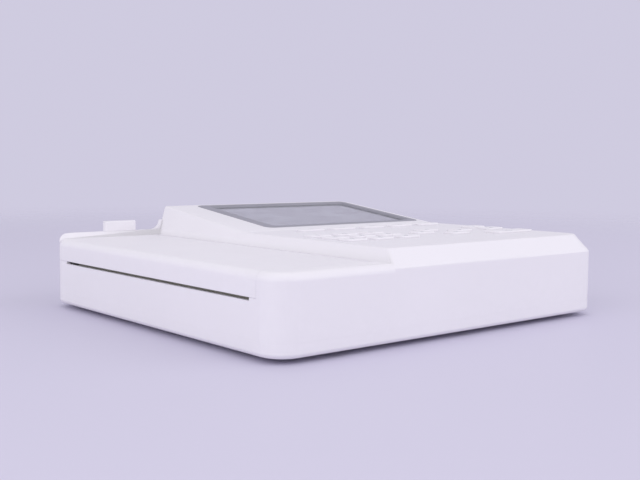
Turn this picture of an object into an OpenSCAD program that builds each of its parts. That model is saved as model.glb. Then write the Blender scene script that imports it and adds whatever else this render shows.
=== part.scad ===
// Desktop electrocardiograph with a full-width chart printer on its left side.
// Sizes are in millimetres, +Z is up and the operator stands at -Y.
// The origin is on the table under the middle of the case.

/* [Case] */
// Width of the case from its left face to its right face
body_l = 280; // [272:1:294]
// Depth of the case from its front face to its back face
body_w = 263; // [262:1:273]
// Height of the rubber feet under the case
foot_h = 3; // [2:0.5:5]
// Height of the low deck over the paper bay
deck_z = 48; // [47.5:0.5:50]
// Wall thickness of the mouldings
wall = 2.5; // [2.25:0.25:3]
// Radius of the upright corners
corner_r = 15; // [13:0.5:16]
// Rounding of the top edge of the low deck
edge_r = 5; // [4:0.5:6]
// Rounding of the bottom edge
base_r = 2.5; // [1:0.5:3]
// Height of the joint between the lower and the upper case
split_z = 11; // [10:0.5:13]
// Gap at the joints between mouldings
seam = 0.3; // [0.2:0.05:0.4]

/* [Console] */
// Distance from the left face to the foot of the console's left wall
console_x = 84; // [83.5:0.5:88]
// Height of the keyboard surface
console_z = 55.9; // [54.5:0.1:57.5]
// Height at which the front bevel starts
bevel_z = 44.5; // [42.5:0.5:45.5]
// How far the front bevel leans back
front_lean = 8; // [6:0.5:9]
// How far the left wall of the console leans in for each millimetre of height
side_lean = 0.25; // [0.15:0.05:0.3]
// How far the right bevel leans in
right_lean = 6.5; // [5:0.5:8]
// How far the back of the console leans in
back_lean = 3; // [2:0.5:4]
// Distance from the front face to the foot of the screen housing
pod_y = 149; // [148:0.5:152]
// Tilt of the screen housing
pod_tilt = 7; // [5:0.5:8]
// Gap between the paper door and the riser of the back rim
rim_gap = 0.4; // [0.3:0.05:0.6]
// Height of the back rim behind the paper door
rim_z = 52; // [51:0.5:53]

/* [Screen] */
// Distance from the console's left wall to the screen frame
frame_in = 30.5; // [28:0.5:33]
// Distance from the screen frame to the case's right face
frame_out = 12; // [10:0.5:14]
// Distance along the slope from its foot to the screen frame
frame_y = 10; // [8:0.25:11]
// Distance along the slope from the screen frame to its back edge
frame_end = 5.75; // [4:0.25:8]
// Thickness of the screen frame
frame_t = 1.5; // [1.5:0.1:1.7]
// How far the screen frame stands out of the housing
frame_proud = 0.3; // [0.2:0.1:0.5]
// Width of the frame to the left of the screen
border_left = 10; // [8:0.5:14]
// Width of the frame to the right of the screen
border_right = 6; // [5:0.5:10]
// Width of the frame in front of the screen
border_front = 7; // [6:0.5:10]
// Width of the frame behind the screen
border_back = 5; // [4:0.5:8]
// Radius of the corners of the screen frame
frame_r = 6; // [5:0.5:7]
// Radius of the corners of the opening in the frame
view_r = 3; // [1:0.5:4]
// Thickness of the clear screen window
window_t = 1.1; // [0.8:0.1:1.2]
// Thickness of the display module
lcd_t = 6; // [4:0.5:7]

/* [Keys] */
// Depth of a key
key_w = 11; // [10:0.5:12]
// Gap between keypad columns
key_space = 7; // [5:0.5:8]
// Gap between the arrow keys and the key in their middle
nav_space = 3; // [3:0.25:4]
// Gap between the keypad and the arrow keys
nav_gap = 16; // [12:0.5:18]
// Gap between the arrow keys and the right column
side_key_gap = 18; // [14:0.5:20]
// Distance between key rows
key_pitch_y = 17; // [16:0.5:17.5]
// How far the keys stand out of the keyboard surface
key_proud = 1.4; // [1.2:0.1:2]
// How far a key travels
key_travel = 1.2; // [0.8:0.1:1.4]
// Gap around a key in its hole
key_gap = 0.4; // [0.3:0.05:0.5]
// Distance from the front face to the first key row
key_row_y = 41; // [39:0.5:43]
// Thickness of the flange that keeps a key in the case
flange_t = 1; // [0.8:0.1:1.2]
// Thickness of the circuit boards
board_t = 1.6; // [1.2:0.1:2]

/* [Printer] */
// Distance from the front face to the paper slot
slot_y = 24; // [23:0.5:24.5]
// Distance from the paper slot to the back face
slot_end = 23; // [22.5:0.5:24]
// Free width of the slot beside each edge of the paper
paper_side = 3; // [2.5:0.25:4]
// Height of the lower lip of the paper slot
slot_z = 31.8; // [31.6:0.1:32]
// Height of the paper slot
slot_h = 1.8; // [1.6:0.1:2.4]
// Radius of the printing roller
platen_r = 6; // [5.5:0.1:6.2]
// Distance from the left face to the roller's axis
platen_x = 12; // [11:0.5:13]
// Radius of the roller's shaft
shaft_r = 2.5; // [2:0.1:3]
// Running clearance of shafts in their bores
run_gap = 0.05; // [0.02:0.01:0.08]
// Gap between the roller and the print head, filled by the paper
nip_gap = 0.3; // [0.25:0.05:0.4]
// Radius of the paper roll
roll_r = 17.5; // [15:0.5:18]
// Distance from the left face to the paper roll's axis
roll_x = 57.5; // [57:0.5:58]
// Height of the paper roll's axis
roll_z = 26; // [25.5:0.25:26.5]
// Radius of the roll's spindle
spindle_r = 5.8; // [5:0.1:6]
// Module of the gears
gear_m = 0.5; // [0.5:0.1:0.5]
// Teeth of the gear on the roller
platen_teeth = 24; // [24:1:24]
// Teeth of the idler gear
idler_teeth = 32; // [32:1:32]
// Teeth of the motor pinion
pinion_teeth = 14; // [14:1:14]
// Face width of the gears
gear_w = 3; // [2:0.5:3]
// Radius of the motor
motor_r = 10; // [9:0.5:10]
// Length of the motor
motor_l = 18; // [14:1:22]
// Distance from the left face to the motor's axis
motor_x = 22; // [21:0.5:22.5]

/* [Paper door] */
// How far the door reaches past the front end of the slot
door_front = 6; // [5.5:0.1:6.3]
// How far the door reaches past the back end of the slot
door_back = 13.6; // [13:0.1:14]
// Distance from the left face to the hinge axis
hinge_x = 79.2; // [78.8:0.1:79.6]
// Radius of the hinge barrel along the door's edge
barrel_r = 2; // [1.8:0.1:2.1]
// Radius of the hinge pins
pin_r = 1; // [0.8:0.1:1.2]
// Length of a hinge pin
pin_l = 11; // [9:0.5:12]
// Left side of the door release
release_x = 38; // [36:0.5:40]
// Width of the door release
release_l = 25; // [24:0.5:26]
// Depth of the door release
release_w = 5.2; // [4.8:0.1:5.2]
// Height of the top of the door release
release_z = 59.3; // [57:0.1:61]
// Travel of the door release
release_travel = 2.4; // [2.3:0.05:2.5]

/* [Power and connectors] */
// Distance from the back recess to the right face
back_in = 12; // [11:0.5:14]
// Width of the recess in the back
back_l = 120; // [118:1:121]
// Height of the lower edge of the recesses
bay_z = 14.5; // [14:0.25:15]
// Height of the recesses
bay_h = 29; // [28:0.5:30]
// Depth of the recess in the back
back_d = 9; // [8:0.5:10]
// Thickness of the connector plate
plate_t = 1.5; // [1:0.25:2]
// Radius of the potential equalisation pin
earth_r = 3; // [2.5:0.5:3]
// Length of the potential equalisation pin
earth_l = 8; // [7:0.5:8]
// Depth of the recess in the right side
side_d = 7; // [6.5:0.25:8]
// Distance between the two jack screws of the patient connector
jack_pitch = 33.3; // [33.3:0.1:33.3]
// Radius of the threaded holes in the jack screws
jack_hole_r = 1.2; // [1.1:0.05:1.3]
// Length of the battery
battery_l = 74; // [70:1:76]
// Width of the battery
battery_w = 70; // [66:1:72]
// Height of the battery
battery_h = 19; // [18:0.5:20]
// Radius of the screws
screw_r = 1.5; // [1.25:0.05:1.5]
// Radius of a rubber foot
foot_r = 8; // [7:0.5:9]
// Radius of the loudspeaker
speaker_r = 14; // [12:0.5:15]

/* [Hidden] */
$fn = 64;
form_fn = 32;
cut = 1;

// Heights that follow from the case
floor_z = foot_h + wall;
roof_z = deck_z - wall;
key_roof_z = console_z - wall;
flange_z = key_roof_z - flange_t;
mat_gap = 0.3;
dome_z = flange_z - key_travel - mat_gap;
dome_h = 0.7;
mat_t = 0.8;
mat_z = dome_z - dome_h - mat_t;
board_z = mat_z - board_t;

// Places in the printer
slot_w = body_w - slot_y - slot_end;
slot_y1 = slot_y + slot_w;
paper_w = slot_w - 2 * paper_side;
door_y0 = slot_y - door_front;
door_y1 = slot_y1 + door_back;
rim_y = door_y1 + rim_gap;
slot_top = slot_z + slot_h;
platen_z = slot_z + 0.7 + nip_gap + platen_r;
paper_y = slot_y + paper_side;
cheek_t = 1.8;
side_gap = 0.3;
ear_t = 2;
ear_y0 = paper_y - side_gap - ear_t;
ear_y1 = paper_y + paper_w + side_gap;
cheek_y0 = ear_y0 - side_gap - cheek_t;
cheek_y1 = ear_y1 + ear_t + side_gap;
gear_y = cheek_y0 - side_gap - gear_w;
platen_gear_r = gear_m * platen_teeth / 2;
idler_r = gear_m * idler_teeth / 2;
pinion_r = gear_m * pinion_teeth / 2;
motor_z = floor_z + motor_r + side_gap;
tray_t = 1;
seat_x1 = motor_x + motor_r + 2;
hinge_z = deck_z - barrel_r;
hinge_end = hinge_x + barrel_r + seam;

// Gear centres: the idler sits where both of its meshes have the right distance
mesh_a = platen_gear_r + idler_r;
mesh_b = idler_r + pinion_r;
reach_x = motor_x - platen_x;
reach_z = motor_z - platen_z;
reach = sqrt(reach_x * reach_x + reach_z * reach_z);
along = (mesh_a * mesh_a - mesh_b * mesh_b + reach * reach) / (2 * reach);
aside = sqrt(mesh_a * mesh_a - along * along);
idler_x = platen_x + (along * reach_x + aside * reach_z) / reach;
idler_z = platen_z + (along * reach_z - aside * reach_x) / reach;
to_idler = atan2(idler_z - platen_z, idler_x - platen_x);
to_pinion = atan2(motor_z - idler_z, motor_x - idler_x);
half = 180;
idler_turn = to_idler + half + half / idler_teeth;
pinion_turn = to_pinion + half + half / pinion_teeth
            - (idler_turn - to_pinion) * idler_teeth / pinion_teeth;

// The screen and its frame on the slope
pod_len = (body_w - back_lean - pod_y) / cos(pod_tilt);
frame_x = console_x + frame_in;
frame_l = body_l - frame_out - frame_x;
frame_w = pod_len - frame_end - frame_y;
view_x = frame_x + border_left;
view_y = frame_y + border_front;
view_l = frame_l - border_left - border_right;
view_w = frame_w - border_front - border_back;

// Places on the keyboard: seven keys and their gaps fill it from left to right
key_first_x = console_x + 20;
side_x = body_l - 24;
key_l = (side_x - key_first_x - 2 * (key_space + nav_space) - nav_gap - side_key_gap) / 6;
key_pitch_x = key_l + key_space;
soft_count = 5;
soft_in = 7.5;
soft_space = 8;
soft_l = (frame_l - 2 * soft_in + soft_space) / soft_count - soft_space;
soft_w = 8;
soft_y = pod_y - 15;
soft_pitch = soft_l + soft_space;
soft_x = frame_x + soft_in + soft_l / 2;
nav_step_x = key_l + nav_space;
nav_step_y = key_w + nav_space + 0.2;
nav_x = key_first_x + 2 * key_pitch_x + key_l + nav_gap + nav_step_x;
nav_y = key_row_y + 2 * key_pitch_y;
start_l = 2 * key_l + 6;
start_w = 13;
start_y = key_row_y + key_pitch_y / 2;

// The back recess and its plate
back_y = body_w - back_d;
plate_y = back_y - plate_t;
plate_mid = bay_z + bay_h / 2;
back_x = body_l - back_in - back_l;
side_x0 = body_l - side_d;
patient_y = body_w / 2;

// The connectors stand in one row with equal gaps between their flanges
inlet_l = 28;
inlet_h = 20.6;
inlet_flange = 1.5;
rocker_l = 13;
rocker_h = 19.4;
rocker_flange = 1;
fuse_r = 6;
fuse_flange = 1.6;
lan_l = 16;
lan_h = 13.4;
usb_l = 14;
usb_h = 6;
usb_z = plate_mid + 6;
lan_z = plate_mid - 12;
earth_flange = 2;
earth_wide = 2 * (earth_r + earth_flange);
fuse_wide = 2 * (fuse_r + fuse_flange);
rocker_wide = rocker_l + 2 * rocker_flange;
inlet_wide = inlet_l + 2 * inlet_flange;
port_gap = (back_l - earth_wide - lan_l - fuse_wide - rocker_wide - inlet_wide) / 6;
earth_x = back_x + port_gap + earth_wide / 2;
lan_x = back_x + 2 * port_gap + earth_wide;
usb_x = lan_x;
fuse_x = lan_x + lan_l + port_gap + fuse_wide / 2;
rocker_x = fuse_x + fuse_wide / 2 + port_gap + rocker_wide / 2;
inlet_x = rocker_x + rocker_wide / 2 + port_gap + inlet_wide / 2;

screw_gap = 0.02;
screw_bite = 9;
head_deep = 1.9;
boss_r = 3.3;
boss_in = wall + boss_r - 0.3;
screw_places = [[45, boss_in], [body_l / 2 + 8, boss_in], [body_l - boss_in, corner_r + 4],
                [45, body_w - boss_in], [back_x - 10, body_w - boss_in],
                [body_l - boss_in, body_w - corner_r - 8]];
boss_top = 30;
foot_places = [[22, 22], [body_l - 22, 22], [22, body_w - 22], [body_l - 22, body_w - 22]];
battery_x = console_x + 12;
battery_y = 22;
battery_z = foot_h + wall + seam;
cover_t = 2;
cover_lap = 3;
cover_tongue = 12;
cover_l = battery_l + cover_lap + cover_tongue;
cover_w = battery_w + 2 * cover_lap;
cover_screw_x = battery_x + battery_l + (cover_lap + cover_tongue) / 2;
cover_screws = [for (y = [battery_y + 12, battery_y + battery_w - 12]) [cover_screw_x, y]];
cover_screw_l = 8;
speaker_x = battery_x + battery_l + cover_lap + cover_tongue + speaker_r + 4;
speaker_y = 40;

white = [0.93, 0.93, 0.95];
dark = [0.2, 0.2, 0.22];
steel = [0.72, 0.72, 0.74];
board_green = [0.1, 0.35, 0.2];

// Moves from the case's front left corner to the middle of the case
module placed() translate([-body_l / 2, -body_w / 2, 0]) children();

// Rounded rectangle from its lower left corner
module round_rect(l, w, r) {
  translate([r, 0]) square([l - 2 * r, w]);
  translate([0, r]) square([l, w - 2 * r]);
  for (x = [r, l - r], y = [r, w - r]) translate([x, y]) circle(r);
}

// Flat slab with round upright corners
module slab(l, w, h, r) linear_extrude(h) round_rect(l, w, r);

// Slab laid out from its middle
module mid_slab(l, w, h, r) translate([-l / 2, -w / 2, 0]) slab(l, w, h, r);

// Round bar along +Y
module bar_y(r, l) rotate([-90, 0, 0]) cylinder(r = r, h = l);

// Post with rounded ends whose hull makes a rounded case
module corner_post(r, low, high, low_r, high_r) {
  rotate_extrude($fn = form_fn)
    polygon(concat([[0, low]],
      [for (a = [0:30:90]) [r - low_r + low_r * sin(a), low + low_r - low_r * cos(a)]],
      [for (a = [0:18:90]) [r - high_r + high_r * cos(a), high - high_r + high_r * sin(a)]],
      [[0, high]]));
}

// The low body, drawn in by inset on every side and up to a given height
module case_form(inset, high) {
  edge = max(edge_r - inset, 1);
  hull()
    for (x = [corner_r, body_l - corner_r], y = [corner_r, body_w - corner_r])
      translate([x, y, 0])
        corner_post(corner_r - inset, foot_h + inset, high - inset, max(base_r - inset, 0.5), edge);
}

// Left face of the console at height z
function console_left(z) = console_x + (z - deck_z) * side_lean;

// The keyboard console with its front, right and back bevels
module console_form(inset) {
  top_r = 2;
  top = console_z - inset;
  left = console_left(console_z) + inset + top_r;
  right = body_l - right_lean - inset;
  big_r = corner_r - 3;
  hull() {
    for (y = [corner_r, body_w - corner_r])
      translate([body_l - corner_r, y, bevel_z - 6]) cylinder(r = corner_r - inset, h = 6, $fn = form_fn);
    for (y = [top_r + inset, body_w - top_r - inset])
      translate([console_left(bevel_z - 6) + inset + top_r, y, bevel_z - 6])
        cylinder(r = top_r, h = 6, $fn = form_fn);
    for (y = [front_lean + inset + top_r, body_w - back_lean - inset - top_r])
      translate([left, y, 0]) corner_post(top_r, bevel_z, top, 0.5, 1.2);
    for (y = [front_lean + inset + big_r, body_w - back_lean - inset - big_r])
      translate([right - big_r, y, 0]) corner_post(big_r, bevel_z, top, 0.5, 1.8);
  }
}

// Height of the sloping screen housing at depth y
function pod_top(y) = console_z + (y - pod_y) * tan(pod_tilt);

// The sloping screen housing
module pod_form(inset) {
  r = 3;
  rounded_h = 2.5;
  back_r = corner_r - 4 - inset;
  low = console_z - 5;
  front = pod_y + r;
  back = body_w - back_lean - inset;
  right = body_l - right_lean - inset;
  hull() {
    for (y = [front, back - r]) {
      translate([console_left(low) + inset + r, y, low]) cylinder(r = r, h = 1, $fn = form_fn);
      translate([console_left(pod_top(y)) + inset + r, y, 0])
        corner_post(r, low, pod_top(y) - inset, 0.5, 1.8);
    }
    translate([right - r, front, 0]) corner_post(r, low, pod_top(front) - inset, 0.5, 1.8);
    translate([right - back_r, back - back_r, low]) cylinder(r = back_r, h = 1, $fn = form_fn);
    on_slope() translate([right - back_r, pod_len - inset - back_r, -inset - rounded_h])
      corner_post(back_r, 0, rounded_h, 0.5, 1.8);
  }
}

// Places things on the slope of the screen housing, z = 0 on its surface
module on_slope() translate([0, pod_y, console_z]) rotate([pod_tilt, 0, 0]) children();

// Half space behind the slanted riser of the back rim
module rim_zone() {
  lean = 1.2;
  far = body_w + 20;
  translate([-cut, 0, 0]) rotate([90, 0, 90])
    linear_extrude(console_x + 2 * cut + 4)
      polygon([[rim_y, roof_z], [rim_y, deck_z], [rim_y + lean, rim_z + 0.01], [rim_y + lean, rim_z + 9],
               [far, rim_z + 9], [far, roof_z]]);
}

// Back rim behind the paper door, with the hollow curve up to the console
module back_rim() {
  fillet = 7;
  x0 = console_left(rim_z) - fillet;
  intersection() {
    case_form(0, rim_z);
    rim_zone();
  }
  translate([0, body_w - back_lean, 0]) rotate([90, 0, 0])
    linear_extrude(body_w - back_lean - rim_y - 2)
      difference() {
        translate([x0, rim_z - 1]) square([fillet + 2, fillet + 1]);
        translate([x0, rim_z + fillet]) circle(fillet);
      }
}

// Hollow of the back rim and the slot of the door release in it
module rim_hollow() {
  front = rim_y + 1.5;
  left = corner_r - 3;
  translate([left, front, roof_z - cut])
    cube([console_x - left - 10, body_w - wall - front, rim_z - roof_z - wall + cut]);
  translate([release_x + release_l / 2 - stem_l / 2 - 0.5, rim_y + 1.6, roof_z - edge_r])
    cube([stem_l + 1, stem_w + release_travel + 0.4, rim_z]);
}

stem_l = 14;
stem_w = 2;

// All key places: x, y, width and depth
soft_keys = [for (i = [0:soft_count - 1]) [soft_x + i * soft_pitch, soft_y, soft_l, soft_w]];
pad_keys = [for (row = [0:2], col = [0:2])
  [key_first_x + col * key_pitch_x, key_row_y + (3 - row) * key_pitch_y, key_l, key_w]];
nav_keys = [[nav_x, nav_y + nav_step_y, key_l, key_w],
            [nav_x, nav_y - nav_step_y, key_l, key_w],
            [nav_x - nav_step_x, nav_y, key_l, key_w],
            [nav_x + nav_step_x, nav_y, key_l, key_w]];
side_keys = [for (i = [2:3]) [side_x, key_row_y + i * key_pitch_y, key_l, key_w]];
start_key = [side_x - start_l / 2 + key_l / 2, start_y, start_l, start_w];
all_keys = concat(soft_keys, pad_keys, nav_keys, side_keys, [start_key]);

key_r = 2;

// One key: cap on its keeping flange
module key_cap(place) {
  lip = 1.2;
  color(white) placed() translate([place[0], place[1], 0]) {
    translate([0, 0, key_roof_z]) mid_slab(place[2], place[3], wall + key_proud, key_r);
    translate([0, 0, flange_z]) mid_slab(place[2] + 2 * lip, place[3] + 2 * lip, flange_t, key_r + lip);
  }
}

// Lower case: floor, low side walls, standoffs, battery well and screw holes
module lower_case() {
  color(white) placed() difference() {
    union() {
      difference() {
        intersection() {
          case_form(0, deck_z);
          cube([body_l, body_w, split_z - seam / 2]);
        }
        case_form(wall, deck_z);
      }
      // Bosses that take the case screws
      for (p = screw_places) translate([p[0], p[1], floor_z - cut])
        cylinder(r = boss_r, h = split_z - seam / 2 - floor_z + cut);
      // Walls of the battery well
      translate([battery_x - seam - wall, battery_y - seam - wall, floor_z - cut]) difference() {
        slab(battery_l + 2 * (seam + wall), battery_w + 2 * (seam + wall), battery_h * 0.7, 2);
        translate([wall, wall, -cut]) slab(battery_l + 2 * seam, battery_w + 2 * seam, battery_h, 1);
      }
      for (p = cover_screws) translate([p[0], p[1], foot_h + cover_t])
        cylinder(r = boss_r, h = cover_screw_l + 2 - cover_t);
      for (p = board_posts) translate([p[0], p[1], floor_z - cut])
        cylinder(r = 3.5, h = main_z - floor_z + cut);
      for (p = supply_posts) translate([p[0], p[1], floor_z - cut])
        cylinder(r = 3, h = supply_z - floor_z + cut);
      for (p = frame_posts) translate([p[0], p[1], floor_z - cut])
        cylinder(r = 3, h = frame_z - floor_z + cut);
      translate([speaker_x, speaker_y, floor_z - cut]) difference() {
        cylinder(r = speaker_r + seam + 1.5, h = 5 + cut);
        translate([0, 0, -cut]) cylinder(r = speaker_r + seam, h = 9);
      }
    }
    for (p = screw_places) translate([p[0], p[1], 0]) {
      translate([0, 0, foot_h - cut]) cylinder(r = screw_r + 0.2, h = split_z);
      translate([0, 0, foot_h - cut]) cylinder(r = screw_r * 2 + 0.2, h = head_deep + cut);
    }
    for (p = board_posts) translate([p[0], p[1], main_z - 6]) cylinder(r = 1, h = 9);
    for (p = foot_places) translate([p[0], p[1], foot_h - cut]) cylinder(r = foot_r + 0.1, h = 1 + cut);
    // Opening and rebate for the battery cover
    translate([battery_x - seam, battery_y - seam, foot_h - cut])
      slab(battery_l + 2 * seam, battery_w + 2 * seam, wall + 2 * cut, 1);
    translate([battery_x - cover_lap - seam, battery_y - cover_lap - seam, foot_h - cut])
      slab(cover_l + 2 * seam, cover_w + 2 * seam, cover_t + cut, 3);
    for (p = cover_screws) translate([p[0], p[1], foot_h - cut])
      cylinder(r = screw_r + screw_gap, h = cover_screw_l + 1 + cut);
    // Loudspeaker slots
    for (i = [-3:3]) translate([speaker_x + i * 3.4, speaker_y, foot_h - cut])
      mid_slab(1.6, 2 * sqrt(pow(speaker_r - 2, 2) - pow(i * 3.4, 2)), wall + 2 * cut, 0.7);
  }
}

// Standoffs inside
main_z = 33;
supply_z = 9;
frame_z = 7;
main_x = console_x + 12;
main_y = 100;
main_l = body_l - 20 - main_x;
main_w = body_w - 36 - main_y;
supply_l = 82;
supply_w = 62;
supply_x = body_l - supply_l - 16;
supply_y = body_w - supply_w - 50;
post_in = 4;
board_posts = [for (x = [main_x + post_in, main_x + main_l - post_in],
                    y = [main_y + post_in, main_y + main_w - post_in]) [x, y]];
supply_posts = [for (x = [supply_x + post_in, supply_x + supply_l - 12],
                     y = [supply_y + post_in, supply_y + supply_w - post_in]) [x, y]];
frame_posts = [for (x = [seat_x1 + 2, hinge_x - 5.4], y = [cheek_y0 + 26, cheek_y1 - 26]) [x, y]];

// Upper case: low deck frame, console, screen housing, back rim and recesses
module upper_case() {
  color(white) placed() difference() {
    union() {
      difference() {
        union() {
          difference() {
            union() {
              case_form(0, deck_z);
              console_form(0);
              pod_form(0);
            }
            case_form(wall, deck_z);
            console_form(wall);
            pod_form(wall);
          }
          back_rim();
        }
        // Everything under the joint belongs to the lower case
        translate([-cut, -cut, -cut]) cube([body_l + 2 * cut, body_w + 2 * cut, split_z + seam / 2 + cut]);
        door_space();
      }
      // Wall between the paper bay and the electronics
      translate([hinge_end + 1, cheek_y0 - 6, split_z + 6])
        cube([1.8, cheek_y1 - cheek_y0 + 8, roof_z - split_z - 5.5]);
      // Blocks that hold the hinge pins
      for (y = [door_y0 - seam - 5, door_y1 + seam])
        translate([hinge_x - 3, y, hinge_z - 3.5]) cube([hinge_end - hinge_x + 3.5, 5, 4]);
      for (p = screw_places) translate([p[0], p[1], split_z + seam / 2])
        cylinder(r = boss_r, h = boss_top - split_z);
      for (p = key_board_posts) translate([p[0], p[1], board_z + board_t])
        cylinder(r = key_post_r, h = key_roof_z - board_z - board_t + 0.5);
      back_recess(0);
      side_recess(0);
    }
    back_recess(1);
    side_recess(1);
    rim_hollow();
    for (y = [door_y0 - seam - pin_l / 2, door_y1 + seam - pin_l / 2])
      translate([hinge_x, y, hinge_z]) bar_y(pin_r + screw_gap, pin_l);
    for (p = screw_places) translate([p[0], p[1], split_z - cut])
      cylinder(r = screw_r + screw_gap, h = screw_bite + 2);
    for (k = all_keys) translate([k[0], k[1], key_roof_z - cut])
      mid_slab(k[2] + 2 * key_gap, k[3] + 2 * key_gap, wall + 3 * cut, key_r + key_gap);
    on_slope() {
      translate([frame_x - seam, frame_y - seam, frame_proud - frame_t])
        slab(frame_l + 2 * seam, frame_w + 2 * seam, frame_t + cut, frame_r + seam);
      translate([window_x - seam, window_y - seam, -wall - cut])
        slab(window_l + 2 * seam, window_w + 2 * seam, wall + 2 * cut, 1.5);
    }
  }
}

key_post_r = 2.6;
key_board_posts = [[key_first_x - 10, key_row_y - 8], [key_first_x - 10, soft_y],
                   [side_x + 5, soft_y - 17], [side_x + 5, key_row_y - 8]];

// Space that the paper door and its slot take out of the upper case
module door_space() {
  difference() {
    translate([-cut, door_y0 - seam, slot_z])
      cube([hinge_x + cut, door_y1 - door_y0 + 2 * seam, rim_z]);
    // The slot ends in the case, just short of the door's own ends
    for (span = [[door_y0 - seam - cut, slot_y], [slot_y1, door_y1 + seam + cut]])
      translate([-2 * cut, span[0], slot_z - cut])
        cube([corner_r / 2 + 2 * cut, span[1] - span[0], slot_h - seam + cut]);
    translate([0, door_y1 + seam, deck_z]) cube([console_x, 10, rim_z]);
  }
  translate([hinge_x, door_y0 - seam, hinge_z]) bar_y(barrel_r + seam, door_y1 - door_y0 + 2 * seam);
  translate([hinge_x - 1, door_y0 - seam, hinge_z])
    cube([1 + barrel_r + seam, door_y1 - door_y0 + 2 * seam, barrel_r + cut]);
  translate([hinge_x - 9, door_y0 - seam, hinge_z - 9])
    cube([9 + barrel_r + seam, door_y1 - door_y0 + 2 * seam, 9]);
}

// Shape of the back recess: part 0 is its solid block, part 1 its hollow
module back_recess(part) {
  ledge = 1.5;
  if (part == 0)
    translate([back_x - wall, plate_y - ledge, bay_z - wall])
      cube([back_l + 2 * wall, body_w - plate_y, bay_h + 2 * wall]);
  if (part == 1) {
    translate([back_x, plate_y, bay_z]) cube([back_l, back_d + plate_t + cut, bay_h]);
    translate([back_x + ledge, plate_y - ledge - cut, bay_z + ledge])
      cube([back_l - 2 * ledge, ledge + 2 * cut, bay_h - 2 * ledge]);
  }
}

patient_l = 39;
patient_h = 13;
side_bay_l = 62;

// Shape of the patient connector's recess: part 0 solid, part 1 hollow
module side_recess(part) {
  y0 = patient_y - side_bay_l / 2;
  if (part == 0)
    translate([side_x0 - wall, y0 - wall, bay_z - wall])
      cube([side_d + wall - 1.5, side_bay_l + 2 * wall, bay_h - 4 + 2 * wall]);
  if (part == 1) {
    translate([side_x0, y0, bay_z]) cube([side_d + cut, side_bay_l, bay_h - 4]);
    translate([side_x0 - wall - cut, patient_y, patient_z]) rotate([90, 0, 90])
      mid_slab(26, 10.6, wall + 2 * cut, 2);
    for (s = [-1, 1]) translate([side_x0 - wall - cut, patient_y + s * jack_pitch / 2, patient_z])
      rotate([0, 90, 0]) cylinder(r = 2.1, h = wall + 2 * cut);
  }
}

patient_z = bay_z + (bay_h - 4) / 2;

// Paper door: deck plate, left skirt down to the slot, hinge barrel, roller ears and catch
module paper_door() {
  len = door_y1 - door_y0;
  color(white) placed() difference() {
    union() {
      intersection() {
        difference() {
          case_form(0, deck_z);
          case_form(wall, deck_z);
        }
        translate([-cut, door_y0, slot_top]) cube([hinge_x + cut, len, deck_z]);
      }
      translate([hinge_x, door_y0, hinge_z]) bar_y(barrel_r, len);
      // Ears that carry the roller shaft
      for (y = [ear_y0, ear_y1]) {
        translate([platen_x, y, platen_z]) bar_y(shaft_r + 2, ear_t);
        translate([platen_x - shaft_r - 2, y, platen_z])
          cube([2 * shaft_r + 4, ear_t, roof_z - platen_z + 0.3]);
      }
      // Stiffening ribs
      for (i = [-1:1]) translate([24, body_w / 2 + i * 50, roof_z - 1.2]) cube([44, 1.6, 1.5]);
      // Catch for the release hook
      translate([catch_x, door_y1 - 1.5, catch_z - 1.5]) cube([12, 1.5, roof_z - catch_z + 2]);
    }
    for (y = [ear_y0, ear_y1]) translate([platen_x, y - cut, platen_z])
      bar_y(shaft_r + run_gap, ear_t + 2 * cut);
    translate([catch_x + 2, door_y1 - 1.5 - cut, catch_z]) cube([8, 1.5 + 2 * cut, 2.4]);
    for (y = [door_y0 - cut, door_y1 - pin_l / 2 - seam])
      translate([hinge_x, y, hinge_z]) bar_y(pin_r + run_gap, pin_l / 2 + cut + seam);
  }
}

catch_x = release_x + release_l / 2 - 6;
catch_z = 41;

// Two steel pins on the hinge axis, one at each end of the door
module door_hinge_pins() {
  color(steel) placed()
    for (y = [door_y0 - seam - pin_l / 2 + 0.2, door_y1 + seam - pin_l / 2 + 0.2])
      translate([hinge_x, y, hinge_z]) bar_y(pin_r, pin_l - 0.4);
}

// Door release: thumb block on the rim, stem through its slot and hook under the door's catch
module door_release() {
  stem_y = rim_y + 1.8;
  color(white) placed() {
    translate([release_x, rim_y + 1.2, rim_z + 0.05])
      slab(release_l, release_w, release_z - rim_z - 0.05, 1.2);
    translate([release_x + (release_l - stem_l) / 2, stem_y, catch_z + 0.3])
      cube([stem_l, stem_w, rim_z - catch_z]);
    translate([catch_x + 2.4, door_y1 - 2.1, catch_z + 0.3])
      cube([7.2, stem_y + stem_w - door_y1 + 2.1, 1.8]);
  }
}

// Rubber sleeve that drives the paper
module platen_roller() {
  color(dark) placed() difference() {
    translate([platen_x, paper_y, platen_z]) bar_y(platen_r, paper_w);
    translate([platen_x, paper_y - cut, platen_z]) bar_y(shaft_r, paper_w + 2 * cut);
  }
}

// Steel shaft of the roller, carried by the door's ears
module platen_shaft() {
  color(steel) placed()
    translate([platen_x, gear_y, platen_z]) bar_y(shaft_r, ear_y1 + ear_t - gear_y);
}

function spread(a) = tan(a) - a * PI / half;
function tooth_half(r, pitch, base, teeth) =
  (90 / teeth) * 0.9 + (spread(20) - spread(acos(min(1, base / r)))) * half / PI;

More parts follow.
